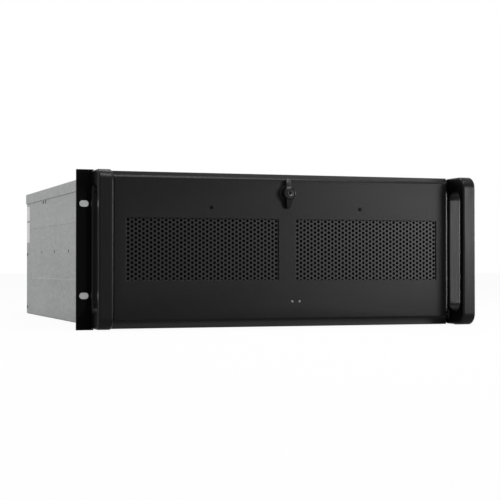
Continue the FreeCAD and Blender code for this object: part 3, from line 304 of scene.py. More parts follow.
def fasteners(name, shape, seats, finish):
    """Copies of one fastener at these seats, each a point and the way its head faces."""
    points = bpy.data.meshes.new(name + "_seats")
    points.from_pydata([tuple(point) for point, facing in seats], [], [])
    ways = points.attributes.new("facing", "FLOAT_VECTOR", "POINT")
    for number, (point, facing) in enumerate(seats):
        ways.data[number].vector = facing
    pattern = new_piece(name + "_pattern", shape)
    mesh = grown(name, fastener_tree, points, {"Fastener": pattern, "Size": 1.0,
                                               "Finish": finish})
    bpy.data.objects.remove(pattern)
    return smooth(new_piece(name, mesh), 40)


tub_low, tub_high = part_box("tub")
SIDES = (("left", tub_low.x, -1), ("right", tub_high.x, 1))
RIVET_INSET = 0.0055
RIVET_HEIGHTS = (-0.076, -0.001)
rivet_seats = [(Vector((side, tub_high.y - RIVET_INSET, height)), Vector((way, 0, 0)))
               for name, side, way in SIDES for height in RIVET_HEIGHTS]
rivet = turned([(0, -0.0002), (0.0024, -0.0002), (0.0024, 0.0002), (0.0020, 0.0007),
                (0.0012, 0.0009), (0.0011, 0.0005), (0, 0.0005)], 16)
fit(fasteners("rear_panel_rivets", rivet, rivet_seats, rivet_steel_and_shade), rivet_steel_and_shade,
    "chassis", "zinc_screw")

label_paper, wire = new_finish("label_paper")
fibres = grain(wire, 0.0015)
cover_with(wire, between(wire, fibres, (0.82, 0.82, 0.81), (0.90, 0.90, 0.89)),
           fibres * 0.1 + 0.5)


def slab(outline, low, high, axis):
    """A flat shape of the outline's 2-D points, from low to high along the axis."""
    shape = bmesh.new()
    layers = []
    for level in (low, high):
        layer = []
        for point in outline:
            place = list(point)
            place.insert(axis, level)
            layer.append(shape.verts.new(place))
        layers.append(layer)
    shape.faces.new(layers[0])
    shape.faces.new(layers[1])
    count = len(outline)
    for step in range(count):
        after = (step + 1) % count
        shape.faces.new((layers[0][step], layers[0][after], layers[1][after], layers[1][step]))
    bmesh.ops.recalc_face_normals(shape, faces=shape.faces)
    return shape


def rounded(low, high, radius, steps=4):
    """The outline of a rectangle with rounded corners."""
    outline = []
    for corner, (across, up) in enumerate(((1, 1), (0, 1), (0, 0), (1, 0))):
        middle = (high[0] - radius if across else low[0] + radius,
                  high[1] - radius if up else low[1] + radius)
        for step in range(steps + 1):
            angle = math.pi / 2 * (corner + step / steps)
            outline.append((middle[0] + radius * math.cos(angle),
                            middle[1] + radius * math.sin(angle)))
    return outline


LABEL_HEIGHTS = ((0.016, 0.044), (0.047, 0.067))
LABEL_WIDTH = 0.0232
LABEL_INSET = 0.0008
PAPER = 0.00012
for number, (low, high) in enumerate(LABEL_HEIGHTS, start=1):
    rear = tub_high.y - LABEL_INSET
    label = slab(rounded((rear - LABEL_WIDTH, low), (rear, high), 0.001), tub_low.x - PAPER,
                 tub_low.x, 0)
    fit(new_piece(f"side_label_{number}", label), label_paper, "chassis", "galvanised_steel")

STEPS = (("upper", 0.034, 0.127, 1), ("lower", -0.034, 0.03, -1))
STEP_DEPTH = 0.0004
STEP_WIDTH = 0.0008
STEP_RUN = 0.012
STEP_END = 0.44
SEAM_Y = 0.052
SEAM_WIDTH = 0.0026
SEAM_HEIGHTS = (-0.084, 0.069)
SEAM_THICK = 0.00012
TAB_PLACES = (0.328, 0.345)
TAB_HEIGHTS = (0.0664, 0.0705)
TAB_WIDTH = 0.006
TAB_TAPER = 0.0015
TAB_THICK = 0.0005


def stuck_on(side, way, outline, thick):
    """A flat shape of this outline and thickness on the outside of a side."""
    return slab(outline, *sorted((side, side + way * thick)), 0)


for name, side, way in SIDES:
    for title, level, start, rise in STEPS:
        profile = [(side, level), (side + way * STEP_DEPTH, level + rise * STEP_WIDTH),
                   (side, level + rise * STEP_RUN)]
        fit(new_piece(f"{name}_step_{title}", slab(profile, start, STEP_END, 1)), galvanised,
            "chassis", "galvanised_steel")
    outline = [(SEAM_Y, SEAM_HEIGHTS[0]), (SEAM_Y + SEAM_WIDTH, SEAM_HEIGHTS[0]),
               (SEAM_Y + SEAM_WIDTH, SEAM_HEIGHTS[1]), (SEAM_Y, SEAM_HEIGHTS[1])]
    fit(new_piece(f"{name}_front_seam", stuck_on(side, way, outline, SEAM_THICK)), rivet_steel_and_shade,
        "chassis", "galvanised_steel")
    # The dark rivet steel on these tabs is painted shade: it stands in for the shadow of each
    # lanced tab.
    for number, along in enumerate(TAB_PLACES, start=1):
        outline = [(along, TAB_HEIGHTS[0]), (along + TAB_WIDTH, TAB_HEIGHTS[0]),
                   (along + TAB_WIDTH - TAB_TAPER, TAB_HEIGHTS[1]),
                   (along + TAB_TAPER, TAB_HEIGHTS[1])]
        fit(new_piece(f"{name}_cover_tab_{number}", stuck_on(side, way, outline, TAB_THICK)),
            rivet_steel_and_shade, "chassis", "galvanised_steel")


# --- Top cover and its screws ---
# A 1 mm galvanised lid with turned-down sides and a rear lip. It slides on from the rear and is
# held there by three screws, which have domed heads with a cross recess.

FINE_EDGE = 0.0003
eased("top_cover", FINE_EDGE, galvanised, "cover", "galvanised_steel")

zinc, wire = new_finish("zinc_plate")
dull = grain(wire, 0.003)
cover_with(wire, between(wire, dull, (0.50, 0.50, 0.49), (0.62, 0.62, 0.60)),
           dull * 0.15 + 0.28, Metallic=1.0)


def loose_parts(node):
    """The corners of each separate solid in a node, always in the mesh's own order."""
    solid = solid_of(node)
    left = dict.fromkeys(solid.verts)
    parts = []
    while left:
        found = [next(iter(left))]
        del left[found[0]]
        for vert in found:
            for edge in vert.link_edges:
                near = edge.other_vert(vert)
                if near in left:
                    del left[near]
                    found.append(near)
        parts.append([vert.co.copy() for vert in found])
    solid.free()
    return parts


def seats_of(node):
    """Where each screw of a node sits and faces, and the sizes that they share."""
    seats = []
    for corners in loose_parts(node):
        best = None
        for axis in range(3):
            levels = sorted({round(corner[axis], 5) for corner in corners})
            aside = (axis + 1) % 3
            ends = []
            for level in (levels[0], levels[-1]):
                reach = [corner[aside] for corner in corners if abs(corner[axis] - level) < 2e-5]
                ends.append(max(reach) - min(reach))
            if len(levels) == 3 and (best is None or abs(ends[1] - ends[0]) > best[0]):
                best = (abs(ends[1] - ends[0]), axis, levels, ends)
        gain, axis, levels, ends = best
        up = 1 if ends[1] > ends[0] else -1
        middle = sum(corners, Vector()) / len(corners)
        middle[axis] = levels[1]
        facing = Vector()
        facing[axis] = up
        top = levels[-1] if up > 0 else levels[0]
        tip = levels[0] if up > 0 else levels[-1]
        wide = max(corner[(axis + 1) % 3] for corner in corners) - middle[(axis + 1) % 3]
        tall = max(corner[(axis + 2) % 3] for corner in corners) - middle[(axis + 2) % 3]
        seats.append((middle, facing, min(wide, tall), abs(top - levels[1]),
                      abs(levels[1] - tip), min(ends) / 2))
    return seats


def inside(point, outline):
    """Whether a 2-D point lies inside an outline."""
    crossings = 0
    for (x1, y1), (x2, y2) in zip(outline, outline[1:] + outline[:1]):
        if (y1 > point[1]) != (y2 > point[1]):
            crossings += point[0] < (x2 - x1) * (point[1] - y1) / (y2 - y1) + x1
    return crossings % 2 == 1


def punched(outline, hole):
    """The triangles between an outline and a hole, by number into both lists of points."""
    count = len(outline)
    points = [Vector(point) for point in outline + hole]
    edges = [(step, (step + 1) % count) for step in range(count)]
    edges += [(count + step, count + (step + 1) % len(hole)) for step in range(len(hole))]
    found = delaunay_2d_cdt(points, edges, [], 0, 0.00001)
    number_of = {}
    for number, point in enumerate(points):
        nearest = min(range(len(found[0])), key=lambda item: (found[0][item] - point).length)
        number_of[nearest] = number
    triangles = []
    for face in found[2]:
        middle = sum((found[0][item] for item in face), Vector((0, 0))) / 3
        if not inside(middle, hole) and inside(middle, outline):
            triangles.append([number_of[item] for item in face])
    return triangles


def cross(reach, width):
    """The outline of a cross recess."""
    half = width / 2
    return [(reach, -half), (reach, half), (half, half), (half, reach), (-half, reach),
            (-half, half), (-reach, half), (-reach, -half), (-half, -half), (-half, -reach),
            (half, -reach), (half, -half)]


def pan_screw(radius, height, length, stem, sides=20):
    """A screw with a domed head, a cross recess and a plain stem, its seat at the origin."""
    flat = radius * 0.72
    shape = turned([(0, -length), (stem * 0.8, -length), (stem, -length + stem * 0.3), (stem, 0),
                    (radius, 0), (radius, height * 0.35), (radius * 0.93, height * 0.7),
                    (radius * 0.84, height * 0.88), (flat, height)], sides)
    rim = [(1000 * flat * math.cos(2 * math.pi * step / sides),
            1000 * flat * math.sin(2 * math.pi * step / sides)) for step in range(sides)]
    recess = cross(1000 * radius * 0.56, 1000 * radius * 0.2)
    top = [shape.verts.new((x / 1000, y / 1000, height)) for x, y in rim + recess]
    for triangle in punched(rim, recess):
        shape.faces.new([top[number] for number in triangle])
    slot_top = top[len(rim):]
    slot_floor = [shape.verts.new((vert.co.x * 0.8, vert.co.y * 0.8, height * 0.35))
                  for vert in slot_top]
    for step in range(12):
        after = (step + 1) % 12
        shape.faces.new((slot_top[step], slot_top[after], slot_floor[after], slot_floor[step]))
    shape.faces.new(slot_floor)
    bmesh.ops.remove_doubles(shape, verts=shape.verts, dist=0.000001)
    bmesh.ops.recalc_face_normals(shape, faces=shape.faces)
    return shape


def screws(node, finish, body, slot):
    """Screws with a cross recess in place of a node's plain ones."""
    found = seats_of(node)
    point, facing, radius, height, length, stem = found[0]
    shape = pan_screw(radius, height, length, stem)
    made = fasteners(node + "_heads", shape, [item[:2] for item in found], finish)
    return fit(made, finish, body, slot, node)


screws("cover_screws", zinc, "cover", "zinc_screw")


# --- Front panel and rack ears ---
# The panel is 1.5 mm steel and the ears are 3 mm steel, powder coated black with a fine, nearly
# matt texture. Screws hold the panel and ears to the tub's front flanges.

ear_paint, wire = new_finish("ear_paint")
orange_peel = grain(wire, 0.0009)
patches = grain(wire, 0.03)
cover_with(wire, between(wire, orange_peel * 0.5 + patches * 0.5, (0.0008, 0.0008, 0.0009),
                         (0.0020, 0.0020, 0.0022)),
           orange_peel * 0.15 + 0.36, orange_peel, 0.00006, Specular_IOR_Level=0.03)
BROKEN_EDGE = 0.0005
for side in ("left", "right"):
    eased(f"ear_{side}", BROKEN_EDGE, ear_paint, "chassis", "panel_paint", 3)

panel_paint, wire = new_finish("panel_paint")
orange_peel = grain(wire, 0.0012)
cover_with(wire, between(wire, orange_peel, (0.003, 0.003, 0.0032), (0.008, 0.008, 0.0084)),
           orange_peel * 0.15 + 0.36, orange_peel, 0.00006, Specular_IOR_Level=0.2)
eased("front_panel", BROKEN_EDGE, panel_paint, "chassis", "panel_paint", 3)

black_oxide, wire = new_finish("black_oxide")
film = grain(wire, 0.002)
cover_with(wire, between(wire, film, (0.003, 0.003, 0.0033), (0.008, 0.008, 0.0085)),
           film * 0.2 + 0.3, Specular_IOR_Level=0.2)
screws("panel_screws", black_oxide, "chassis", "black_screw")


# --- Handles and their screws ---
# Two aluminium loops with round corners and broken edges, satin blasted and anodised black. Each
# is held by two screws from behind the ear.

anodised, wire = new_finish("black_anodised")
drawn = grain(wire, 0.0016, (1, 1, 0.03))
blasted = grain(wire, 0.0005)
cover_with(wire, between(wire, drawn, (0.0010, 0.0010, 0.0011), (0.0024, 0.0024, 0.0026)),
           drawn * 0.2 + blasted * 0.1 + 0.18, blasted * 0.3 + drawn * 0.7, 0.00003,
           Specular_IOR_Level=0.125)
HANDLE_EDGE = 0.0012
HANDLE_EDGE_WIDTH = 0.0016
NEAR = 0.00001
for side in ("left", "right"):
    low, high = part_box(f"handle_{side}")
    loop = solid_of(f"handle_{side}")
    for vert in loop.verts:
        for limit, inwards in ((low.x, 1), (high.x, -1)):
            if abs(vert.co.x - limit - inwards * HANDLE_EDGE) < NEAR:
                vert.co.x = limit + inwards * HANDLE_EDGE_WIDTH
    eased(f"handle_{side}", BROKEN_EDGE, anodised, "chassis", "black_anodised", 3, loop)
screws("handle_screws", black_oxide, "chassis", "black_screw")


# --- Door ---
# A shallow tray of 1.5 mm steel with two wide windows and a broken front edge, powder coated
# black with a fine texture. It folds down on two pins at its lower corners.

door_paint, wire = new_finish("door_paint")
peel = grain(wire, 0.0012)
drift = grain(wire, 0.05)
cover_with(wire, between(wire, peel * 0.6 + drift * 0.4, (0.0015, 0.0015, 0.0016),
                         (0.0060, 0.0060, 0.0063)),
           peel * 0.2 + 0.25, peel, 0.00014, Specular_IOR_Level=0.115)


DOOR_EDGE = 0.0015
DOOR_EDGE_WIDTH = 0.0026


def with_flat_edge(node, given, wide):
    """The node's solid with the round edge about its front made flat, wider than it is deep."""
    low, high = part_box(node)
    solid = solid_of(node)
    for vert in solid.verts:
        depth = vert.co.y - low.y
        for axis in (0, 2):
            for limit, inwards in ((low[axis], 1), (high[axis], -1)):
                reach = inwards * (vert.co[axis] - limit)
                if max(reach, depth) < given + NEAR and min(reach, depth) < given - NEAR:
                    share = math.atan2(given - reach, given - depth) * 2 / math.pi
                    vert.co[axis] = limit + inwards * wide * (1 - share)
                    vert.co.y = low.y + given * share
    return flattened(solid)


eased("door", BROKEN_EDGE, door_paint, "door", "door_paint", 3,
      with_flat_edge("door", DOOR_EDGE, DOOR_EDGE_WIDTH), sharp=20)

pin_steel, wire = new_finish("pin_steel")
wear = grain(wire, 0.001)
cover_with(wire, between(wire, wear, (0.35, 0.35, 0.35), (0.5, 0.5, 0.5)), wear * 0.2 + 0.25,
           Metallic=1.0)
paint("pivot_pins", pin_steel)


# --- Perforated sheets behind the door's windows ---
# Two black 1 mm sheets punched all over with round holes, every second column half a pitch
# lower, and screwed to the rear of the door at their upper edge, with a thin black dust gauze
# behind each. The gauze's near-black, dull finish is also painted shade for the dark space
# behind the holes. Two clear light guides sit in the door's small holes.

mesh_paint, wire = new_finish("mesh_paint")
speckle = grain(wire, 0.0008)
cover_with(wire, between(wire, speckle, (0.001, 0.001, 0.0011), (0.0045, 0.0045, 0.0047)),
           speckle * 0.15 + 0.3, speckle, 0.00004, Specular_IOR_Level=0.2)

HOLE = 0.0035
HOLE_SIDES = 12
COLUMN_PITCH = 0.00433
ROW_PITCH = 0.005
WIDE_COLUMNS = 22
WIDE_ROWS = 15
FIELD_X = 0.09965
FIELD_Z = 0.0007

perforation_tree, given = growth("perforation", {
    "Columns": "Int", "Rows": "Int", "Column pitch": "Float", "Row pitch": "Float",
    "Middle": "Vector", "Tile": "Object", "Finish": "Material"})
start = given["Columns"]
across = given["Column pitch"] * 2
fields = []
for fewer in (0, 1):
    columns = given["Columns"] - fewer
    rows = given["Rows"] - fewer
    fields.append(start.node("GeometryNodeMeshGrid", {}, {
        "Size X": (columns - 1) * across, "Size Y": (rows - 1) * given["Row pitch"],
        "Vertices X": columns, "Vertices Y": rows}))
join = start.tree.nodes.new("GeometryNodeJoinGeometry")
for field in fields:
    start.tree.links.new(field.socket, join.inputs[0])
points = start.node("GeometryNodeTransform", {},
                    {"Geometry": Wire(start.tree, join.outputs[0]),
                     "Rotation": Euler((math.pi / 2, 0, 0)),
                     "Translation": given["Middle"]})
tile = start.node("GeometryNodeObjectInfo", {"transform_space": "ORIGINAL"},
                  {"Object": given["Tile"]}, "Geometry")
field = start.node("GeometryNodeInstanceOnPoints", {}, {"Points": points, "Instance": tile})
field = start.node("GeometryNodeRealizeInstances", {}, {"Geometry": field})
field = start.node("GeometryNodeMergeByDistance", {}, {"Geometry": field, "Distance": 0.00002})
field = start.node("GeometryNodeSetMaterial", {},
                   {"Geometry": field, "Material": given["Finish"]})
start.node("NodeGroupOutput", {}, {"Geometry": field})


def perforated(side, low, high):
    """One sheet between these corners: its punched field and the plain border round it."""
    thick = high.y - low.y
    half = (COLUMN_PITCH / 2, ROW_PITCH / 2)
    outline = [(-half[0], -half[1]), (half[0], -half[1]), (half[0], 0), (half[0], half[1]),
               (-half[0], half[1]), (-half[0], 0)]
    turn = 2 * math.pi / HOLE_SIDES
    ring = [(HOLE / 2 * math.cos(turn * step), HOLE / 2 * math.sin(turn * step))
            for step in range(HOLE_SIDES)]
    scaled = [[(1000 * x, 1000 * z) for x, z in shape] for shape in (outline, ring)]
    tile = bmesh.new()
    layers = [[tile.verts.new((x, level, z)) for x, z in outline + ring]
              for level in (-thick / 2, thick / 2)]
    for triangle in punched(*scaled):
        for layer in layers:
            tile.faces.new([layer[number] for number in triangle])
    for step in range(HOLE_SIDES):
        first = len(outline) + step
        after = len(outline) + (step + 1) % HOLE_SIDES
        tile.faces.new((layers[0][first], layers[0][after], layers[1][after], layers[1][first]))
    pattern = new_piece("perforation_tile", tile)
    middle = Vector((side * FIELD_X, (low.y + high.y) / 2, FIELD_Z))
    mesh = grown(f"punched_field_{side}", perforation_tree, bpy.data.meshes.new("no_points"), {
        "Columns": WIDE_COLUMNS, "Rows": WIDE_ROWS, "Column pitch": COLUMN_PITCH,
        "Row pitch": ROW_PITCH, "Middle": middle, "Tile": pattern, "Finish": mesh_paint})
    bpy.data.objects.remove(pattern)

    sheet = bmesh.new()
    sheet.from_mesh(mesh)
    columns = 2 * WIDE_COLUMNS - 1
    left = middle.x - columns * half[0]
    bottom = middle.z - WIDE_ROWS * half[1]
    xs = [low.x] + [left + step * COLUMN_PITCH for step in range(columns + 1)] + [high.x]
    zs = [low.z] + [bottom + step * half[1] for step in range(2 * WIDE_ROWS + 1)] + [high.z]
    last = (len(xs) - 2, len(zs) - 2)
    for column in range(last[0] + 1):
        for row in range(last[1] + 1):
            staggered = column % 2 == 0 and row in (1, last[1] - 1)
            if not (column in (0, last[0]) or row in (0, last[1]) or staggered):
                continue
            for level in (low.y, high.y):
                sheet.faces.new([sheet.verts.new((xs[column + i], level, zs[row + j]))
                                 for i, j in ((0, 0), (1, 0), (1, 1), (0, 1))])
    for levels, fixed, places in ((xs, 2, (low.z, high.z)), (zs, 0, (low.x, high.x))):
        for here, there in zip(levels, levels[1:]):
            for place in places:
                corners = []
                for along, level in ((here, low.y), (there, low.y), (there, high.y),
                                     (here, high.y)):
                    corners.append((along, level, place) if fixed == 2
                                   else (place, level, along))
                sheet.faces.new([sheet.verts.new(corner) for corner in corners])
    bmesh.ops.remove_doubles(sheet, verts=sheet.verts, dist=0.00002)
    bmesh.ops.recalc_face_normals(sheet, faces=sheet.faces)
    return sheet


for side, name in ((-1, "mesh_left"), (1, "mesh_right")):
    sheet = new_piece(f"perforated_{name}", perforated(side, *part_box(name)))
    fit(sheet, mesh_paint, "door", "mesh_paint", name)
deep_black, wire = new_finish("deep_black_oxide")
film = grain(wire, 0.002)
cover_with(wire, between(wire, film, (0.0008, 0.0008, 0.0008), (0.0016, 0.0016, 0.0016)),
           film * 0.2 + 0.4, Specular_IOR_Level=0.05)
screws("mesh_screws", deep_black, "door", "black_screw")

clear, wire = new_finish("clear_guide")
cloudy = grain(wire, 0.0008)
cover_with(wire, between(wire, cloudy, (0.10, 0.10, 0.10), (0.16, 0.16, 0.16)),
           cloudy * 0.1 + 0.12, Specular_IOR_Level=0.6)
GUIDE_PLACES = ((0.0062, -0.0585), (0.0152, -0.0585))
GUIDE_INSET = 0.0004
door_low, door_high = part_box("door")
guide_seats = [(Vector((x, door_low.y + GUIDE_INSET, z)), Vector((0, -1, 0)))
               for x, z in GUIDE_PLACES]
guide = turned([(0, -0.0011), (0.0016, -0.0011), (0.0016, 0), (0.0013, 0.0005), (0.0007, 0.0008),
                (0, 0.0009)], 16)
fit(fasteners("door_light_guides", guide, guide_seats, clear), clear, "door", "lens_plastic")

# A dust gauze, but its near-black, barely glossy finish is painted shade: it stands in for the
# dark space behind the holes.
gauze_and_shade, wire = new_finish("black_gauze_and_shade")
threads = wire.node("ShaderNodeTexWave", {"bands_direction": "X"}, {"Scale": 900.0}, 1)
threads = threads * 0.5 + wire.node("ShaderNodeTexWave", {"bands_direction": "Z"},
                                    {"Scale": 900.0}, 1) * 0.5
cover_with(wire, between(wire, threads, (0.0010, 0.0010, 0.0010), (0.0030, 0.0030, 0.0030)),
           threads * 0.1 + 0.8, threads, 0.00002, Specular_IOR_Level=0.02)
GAUZE_INSET = (0.003, 0.002)
GAUZE_TOP = 0.041
GAUZE_LEVELS = (0.0001, 0.0006)
for name in ("mesh_left", "mesh_right"):
    low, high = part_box(name)
    outline = rounded((low.x + GAUZE_INSET[0], low.z + GAUZE_INSET[1]),
                      (high.x - GAUZE_INSET[0], GAUZE_TOP), 0.002)
    screen = slab(outline, high.y + GAUZE_LEVELS[0], high.y + GAUZE_LEVELS[1], 1)
    fit(new_piece(name.replace("mesh", "dust_gauze"), screen), gauze_and_shade, "door", "mesh_paint")


# --- Lock ---
# A quarter-turn lock in the door: a barrel with a flange, held by a nut, and a winged knob with
# a raised rim and the key core in it, which turns a cam behind the panel.

lock_black, wire = new_finish("lock_black")
cast = grain(wire, 0.0015)
cover_with(wire, between(wire, cast, (0.0012, 0.0012, 0.0013), (0.0030, 0.0030, 0.0032)),
           cast * 0.15 + 0.24, cast, 0.00003, Specular_IOR_Level=0.2)
FLANGE_EDGE = 0.0007
KNOB_EDGE = 0.0011
eased("lock_body", FLANGE_EDGE, lock_black, "door", "lock_metal")
eased("lock_knob", KNOB_EDGE, lock_black, "knob", "knob_black", 3)
nickel, wire = new_finish("dull_nickel")
rubbed = grain(wire, 0.0008)
cover_with(wire, between(wire, rubbed, (0.030, 0.030, 0.029), (0.080, 0.080, 0.078)),
           rubbed * 0.2 + 0.25, Metallic=1.0)
knob_low, knob_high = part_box("lock_knob")
lock_middle = Vector((0, knob_low.y, (knob_low.z + knob_high.z) / 2))


def stood_on_lock(shape):
    """Turn a shape made about Z to stand on the knob's hub and face the front."""
    for vert in shape.verts:
        x, y, z = vert.co
        vert.co = lock_middle + Vector((x, -z, y))
    bmesh.ops.recalc_face_normals(shape, faces=shape.faces)
    return shape


def keyed_disc(radius, height, slot_half, sides=32):
    """A disc with a key slot through it."""
    rim = [(radius * math.cos(2 * math.pi * step / sides),
            radius * math.sin(2 * math.pi * step / sides)) for step in range(sides)]
    slot = [(-slot_half[0], -slot_half[1]), (slot_half[0], -slot_half[1]),
            (slot_half[0], slot_half[1]), (-slot_half[0], slot_half[1])]
    scaled = [[(1000 * x, 1000 * y) for x, y in points] for points in (rim, slot)]
    shape = bmesh.new()
    layers = [[shape.verts.new((x, y, level)) for x, y in rim + slot] for level in (0, height)]
    for triangle in punched(*scaled):
        for layer in layers:
            shape.faces.new([layer[number] for number in triangle])
    for first, count in ((0, sides), (sides, 4)):
        for step in range(count):
            here, after = first + step, first + (step + 1) % count
            shape.faces.new((layers[0][here], layers[0][after], layers[1][after],
                             layers[1][here]))
    return shape


CORE_RADIUS = 0.0019
CORE_HEIGHT = 0.00015
KEY_SLOT_HALF = (0.0008, 0.0016)
RIMS = (("core_rim", CORE_RADIUS, 0.0030, 0.0033, 0.0007, nickel, "lock_metal"),
        ("hub_rim", 0.0052, 0.00555, 0.0069, 0.0009, lock_black, "knob_black"))
RIM_JOIN = 0.000001
core = stood_on_lock(keyed_disc(CORE_RADIUS, CORE_HEIGHT, KEY_SLOT_HALF))
fit(smooth(new_piece("key_core_face", core)), lock_black, "knob", "lock_metal")
for name, inner, crest, outer, height, finish, slot in RIMS:
    rim = turned([(inner, 0), (outer, 0), (crest, height), (inner, 0)], 40)
    bmesh.ops.remove_doubles(rim, verts=rim.verts, dist=RIM_JOIN)
    fit(smooth(new_piece(name, stood_on_lock(rim))), finish, "knob", slot)
paint("lock_nut", zinc)
paint("lock_cam", zinc)
paint("cam_screw", zinc)


# --- Drive bays ---
# A riveted cage for three 5.25 inch drives, closed by three moulded blanks, and a cage for
# 3.5 inch drives behind the front fan.

paint("bay_cage", galvanised)
paint("drive_cage", galvanised)
bay_plastic, wire = new_finish("bay_plastic")
moulded = grain(wire, 0.0006)
cover_with(wire, between(wire, moulded, (0.010, 0.010, 0.010), (0.016, 0.016, 0.016)),
           moulded * 0.15 + 0.45, moulded, 0.00003, Specular_IOR_Level=0.4)
for number in (1, 2, 3):
    eased(f"bay_cover_{number}", FINE_EDGE, bay_plastic, "chassis", "bay_plastic")


# --- Fans ---
# Moulded black frames with a motor plate on four struts, and a rotor of seven raked blades.

fan_plastic, wire = new_finish("fan_plastic")
flow = grain(wire, 0.0012)
cover_with(wire, between(wire, flow, (0.010, 0.010, 0.011), (0.018, 0.018, 0.019)),
           flow * 0.15 + 0.35, flow, 0.00002, Specular_IOR_Level=0.45)
HUBS = {"front_fan": 0.019, "rear_fan_left": 0.014, "rear_fan_right": 0.014}
BLADES = 7
BLADE_THICK = 0.0014
BLADE_TURN = 0.75
BLADE_SWEEP = 0.35
BLADE_INSET = (0.0012, 0.0022)
STEPS_OUT = 5
STEPS_BACK = 6


def blade_skin(shape, blade, side, hub, reach, low, depth):
    """One side of a blade as rows of points from the hub out, each from front to rear."""
    rows = []
    for out in range(STEPS_OUT + 1):
        radius = hub * 0.97 + (reach - hub * 0.97) * out / STEPS_OUT
        inset = BLADE_INSET[0] + BLADE_INSET[1] * (out / STEPS_OUT) ** 2
        row = []
        for back in range(STEPS_BACK + 1):
            share = back / STEPS_BACK
            turn = (2 * math.pi * blade / BLADES + BLADE_TURN * (share ** 1.4 - 0.5)
                    + BLADE_SWEEP * out / STEPS_OUT + side * BLADE_THICK / 2 / radius)
            row.append(shape.verts.new((radius * math.cos(turn),
                                        low + inset + (depth - 2 * inset) * share,
                                        radius * math.sin(turn))))
        rows.append(row)
    return rows


def fan_rotor(node, hub):
    """A hub with a rounded face and raked, swept blades, in the room of the node's rotor."""
    low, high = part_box(node)
    middle = (low + high) / 2
    reach = (high.z - low.z) / 2
    depth = high.y - low.y
    shape = turned([(0, 0), (hub, 0), (hub, depth * 0.9), (hub * 0.96, depth * 0.97),
                    (hub * 0.88, depth), (0, depth)], 48)
    for vert in shape.verts:
        x, y, z = vert.co
        vert.co = (x, high.y - z, y)
    for blade in range(BLADES):
        skins = [blade_skin(shape, blade, side, hub, reach, low.y, depth) for side in (-1, 1)]
        first, second = skins
        for out in range(STEPS_OUT):
            for back in range(STEPS_BACK):
                for rows in skins:
                    shape.faces.new((rows[out][back], rows[out + 1][back],
                                     rows[out + 1][back + 1], rows[out][back + 1]))
        for out in range(STEPS_OUT):
            for back in (0, STEPS_BACK):
                shape.faces.new((first[out][back], first[out + 1][back],
                                 second[out + 1][back], second[out][back]))
        for back in range(STEPS_BACK):
            for out in (0, STEPS_OUT):
                shape.faces.new((first[out][back], first[out][back + 1],
                                 second[out][back + 1], second[out][back]))
    for vert in shape.verts:
        vert.co.x += middle.x
        vert.co.z += middle.z
    bmesh.ops.recalc_face_normals(shape, faces=shape.faces)
    return shape


for name, hub in HUBS.items():
    eased(f"{name}_frame", FINE_EDGE, fan_plastic, "chassis", "fan_plastic")
    blades = smooth(new_piece(f"{name}_blades", fan_rotor(f"{name}_rotor", hub)))
    fit(blades, fan_plastic, name, "fan_plastic", f"{name}_rotor")
screws("front_fan_screws", black_oxide, "chassis", "black_screw")
screws("rear_fan_screws", zinc, "chassis", "zinc_screw")


# --- Slot covers ---
# Seven bent steel blanks behind the rear panel's openings, each held by a screw on the ledge.

for number in range(1, 8):
    paint(f"slot_cover_{number}", galvanised)
screws("slot_screws", zinc, "chassis", "zinc_screw")


# --- Board posts ---
# Nine brass posts on the floor that carry the main board.

brass, wire = new_finish("post_brass")
drawn_brass = grain(wire, 0.002)
cover_with(wire, between(wire, drawn_brass, (0.55, 0.40, 0.16), (0.68, 0.52, 0.24)),
           drawn_brass * 0.15 + 0.3, Metallic=1.0)
paint("board_posts", brass)


# --- Front controls ---
# A small board behind the panel with two push buttons, two lamps and two sockets.

laminate, wire = new_finish("board_laminate")
weave = grain(wire, 0.0012)
cover_with(wire, between(wire, weave, (0.015, 0.07, 0.03), (0.025, 0.10, 0.045)),
           weave * 0.1 + 0.35)
paint("control_board", laminate)
paint("control_posts", zinc)
paint("power_button", bay_plastic)
paint("reset_button", bay_plastic)
lens, wire = new_finish("lens_plastic")
milky = grain(wire, 0.001)
cover_with(wire, between(wire, milky, (0.30, 0.31, 0.31), (0.36, 0.37, 0.37)),
           milky * 0.1 + 0.2)
paint("led_lenses", lens)
paint("usb_sockets", zinc)


# --- Studio: floor, backdrop, lamps and camera ---
# A plain pale floor in a plain pale room. A soft lamp stands to the front and right, two upright
# strips to the right draw the edges, and two wide strips hang over the front and over the rear.

low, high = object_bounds()
floor_white, wire = new_finish("floor_white")
seen = wire.node("ShaderNodeLightPath", output="Is Camera Ray")
mirrored = wire.node("ShaderNodeLightPath", output="Is Glossy Ray")
through = wire.node("ShaderNodeLightPath", output="Is Transmission Ray")
matt = wire.node("ShaderNodeBsdfDiffuse", {}, {"Color": (0.6, 0.6, 0.6)})
pale = wire.node("ShaderNodeEmission", {}, {"Color": (1, 1, 1), "Strength": 1.0})
shown = seen * 0.95 + mirrored * 0.28 + through * 0.95
floor_mix = wire.node("ShaderNodeMixShader", {}, {0: shown, 1: matt, 2: pale})
wire.node("ShaderNodeOutputMaterial", {}, {"Surface": floor_mix})

floor_mesh = bpy.data.meshes.new("studio_floor")
FLOOR_HALF = 12
floor_mesh.from_pydata([(across * FLOOR_HALF, along * FLOOR_HALF, low.z)
                        for across, along in ((-1, -1), (1, -1), (1, 1), (-1, 1))],
                       [], [(0, 1, 2, 3)])
floor = new_piece("studio_floor", floor_mesh)
floor.data.materials.append(floor_white)

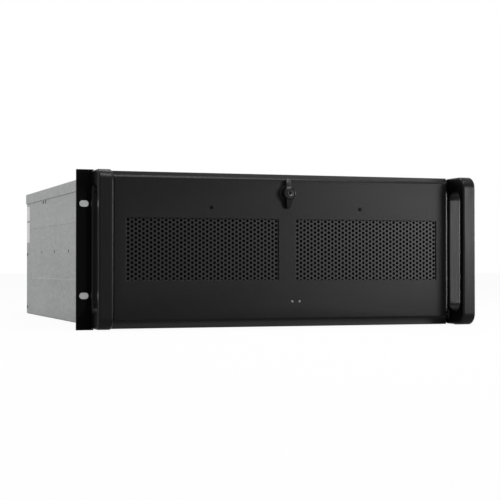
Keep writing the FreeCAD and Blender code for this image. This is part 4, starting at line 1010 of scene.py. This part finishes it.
world = bpy.data.worlds.new("studio")
bpy.context.scene.world = world
world.use_nodes = True
world.node_tree.nodes.clear()
wire = Wire(world.node_tree)
shown = (wire.node("ShaderNodeLightPath", output="Is Camera Ray")
         + wire.node("ShaderNodeLightPath", output="Is Glossy Ray")
         + wire.node("ShaderNodeLightPath", output="Is Transmission Ray"))
room = wire.node("ShaderNodeBackground", {}, {"Color": (1, 1, 1), "Strength": 0.5})
backdrop = wire.node("ShaderNodeBackground", {}, {"Color": (1, 1, 1), "Strength": 1.0})
world_mix = wire.node("ShaderNodeMixShader", {}, {0: shown, 1: room, 2: backdrop})
wire.node("ShaderNodeOutputWorld", {}, {"Surface": world_mix})


def lamp(name, azimuth, elevation, distance, size, radiance):
    """A soft lamp that looks at the middle of the case's front; azimuth 0 is straight ahead."""
    middle = Vector((0, 0, (low.z + high.z) / 2))
    turn, rise = math.radians(azimuth), math.radians(elevation)
    way = Vector((math.sin(turn) * math.cos(rise), -math.cos(turn) * math.cos(rise),
                  math.sin(rise)))
    light = bpy.data.lights.new(name, "AREA")
    light.shape = "RECTANGLE"
    light.size, light.size_y = size
    light.energy = 4 * radiance * size[0] * size[1]
    holder = bpy.data.objects.new(name, light)
    holder.location = middle + way * distance
    holder.rotation_euler = way.to_track_quat("Z", "Y").to_euler()
    bpy.context.scene.collection.objects.link(holder)


LAMPS = (("broad_lamp", 36, 6, 1.9, (0.45, 0.62), 16.5),
         ("strip_lamp", 86, 5, 1.5, (0.26, 0.40), 11.0),
         ("edge_lamp", 104, 5, 1.5, (0.16, 0.40), 14.0),
         ("overhead_lamp", 12, 66, 1.8, (1.3, 0.4), 13.0),
         ("rear_lamp", 12, 118, 1.8, (1.3, 0.16), 12.0))
for name, azimuth, elevation, distance, size, radiance in LAMPS:
    lamp(name, azimuth, elevation, distance, size, radiance)

CAMERA_PLACE = (-0.5366, -1.4542, -0.0188)
CAMERA_TILT = 90.7176
CAMERA_TURN = -18.89
LENS_TO_SENSOR = 2.68
camera_data = bpy.data.cameras.new("camera")
camera_data.sensor_width = 36
camera_data.lens = LENS_TO_SENSOR * camera_data.sensor_width
camera = bpy.data.objects.new("camera", camera_data)
camera.location = CAMERA_PLACE
camera.rotation_euler = Euler((math.radians(CAMERA_TILT), 0, math.radians(CAMERA_TURN)), "XYZ")
bpy.context.scene.collection.objects.link(camera)
bpy.context.scene.camera = camera
bpy.context.scene.view_settings.view_transform = "Standard"

bpy.context.view_layer.update()
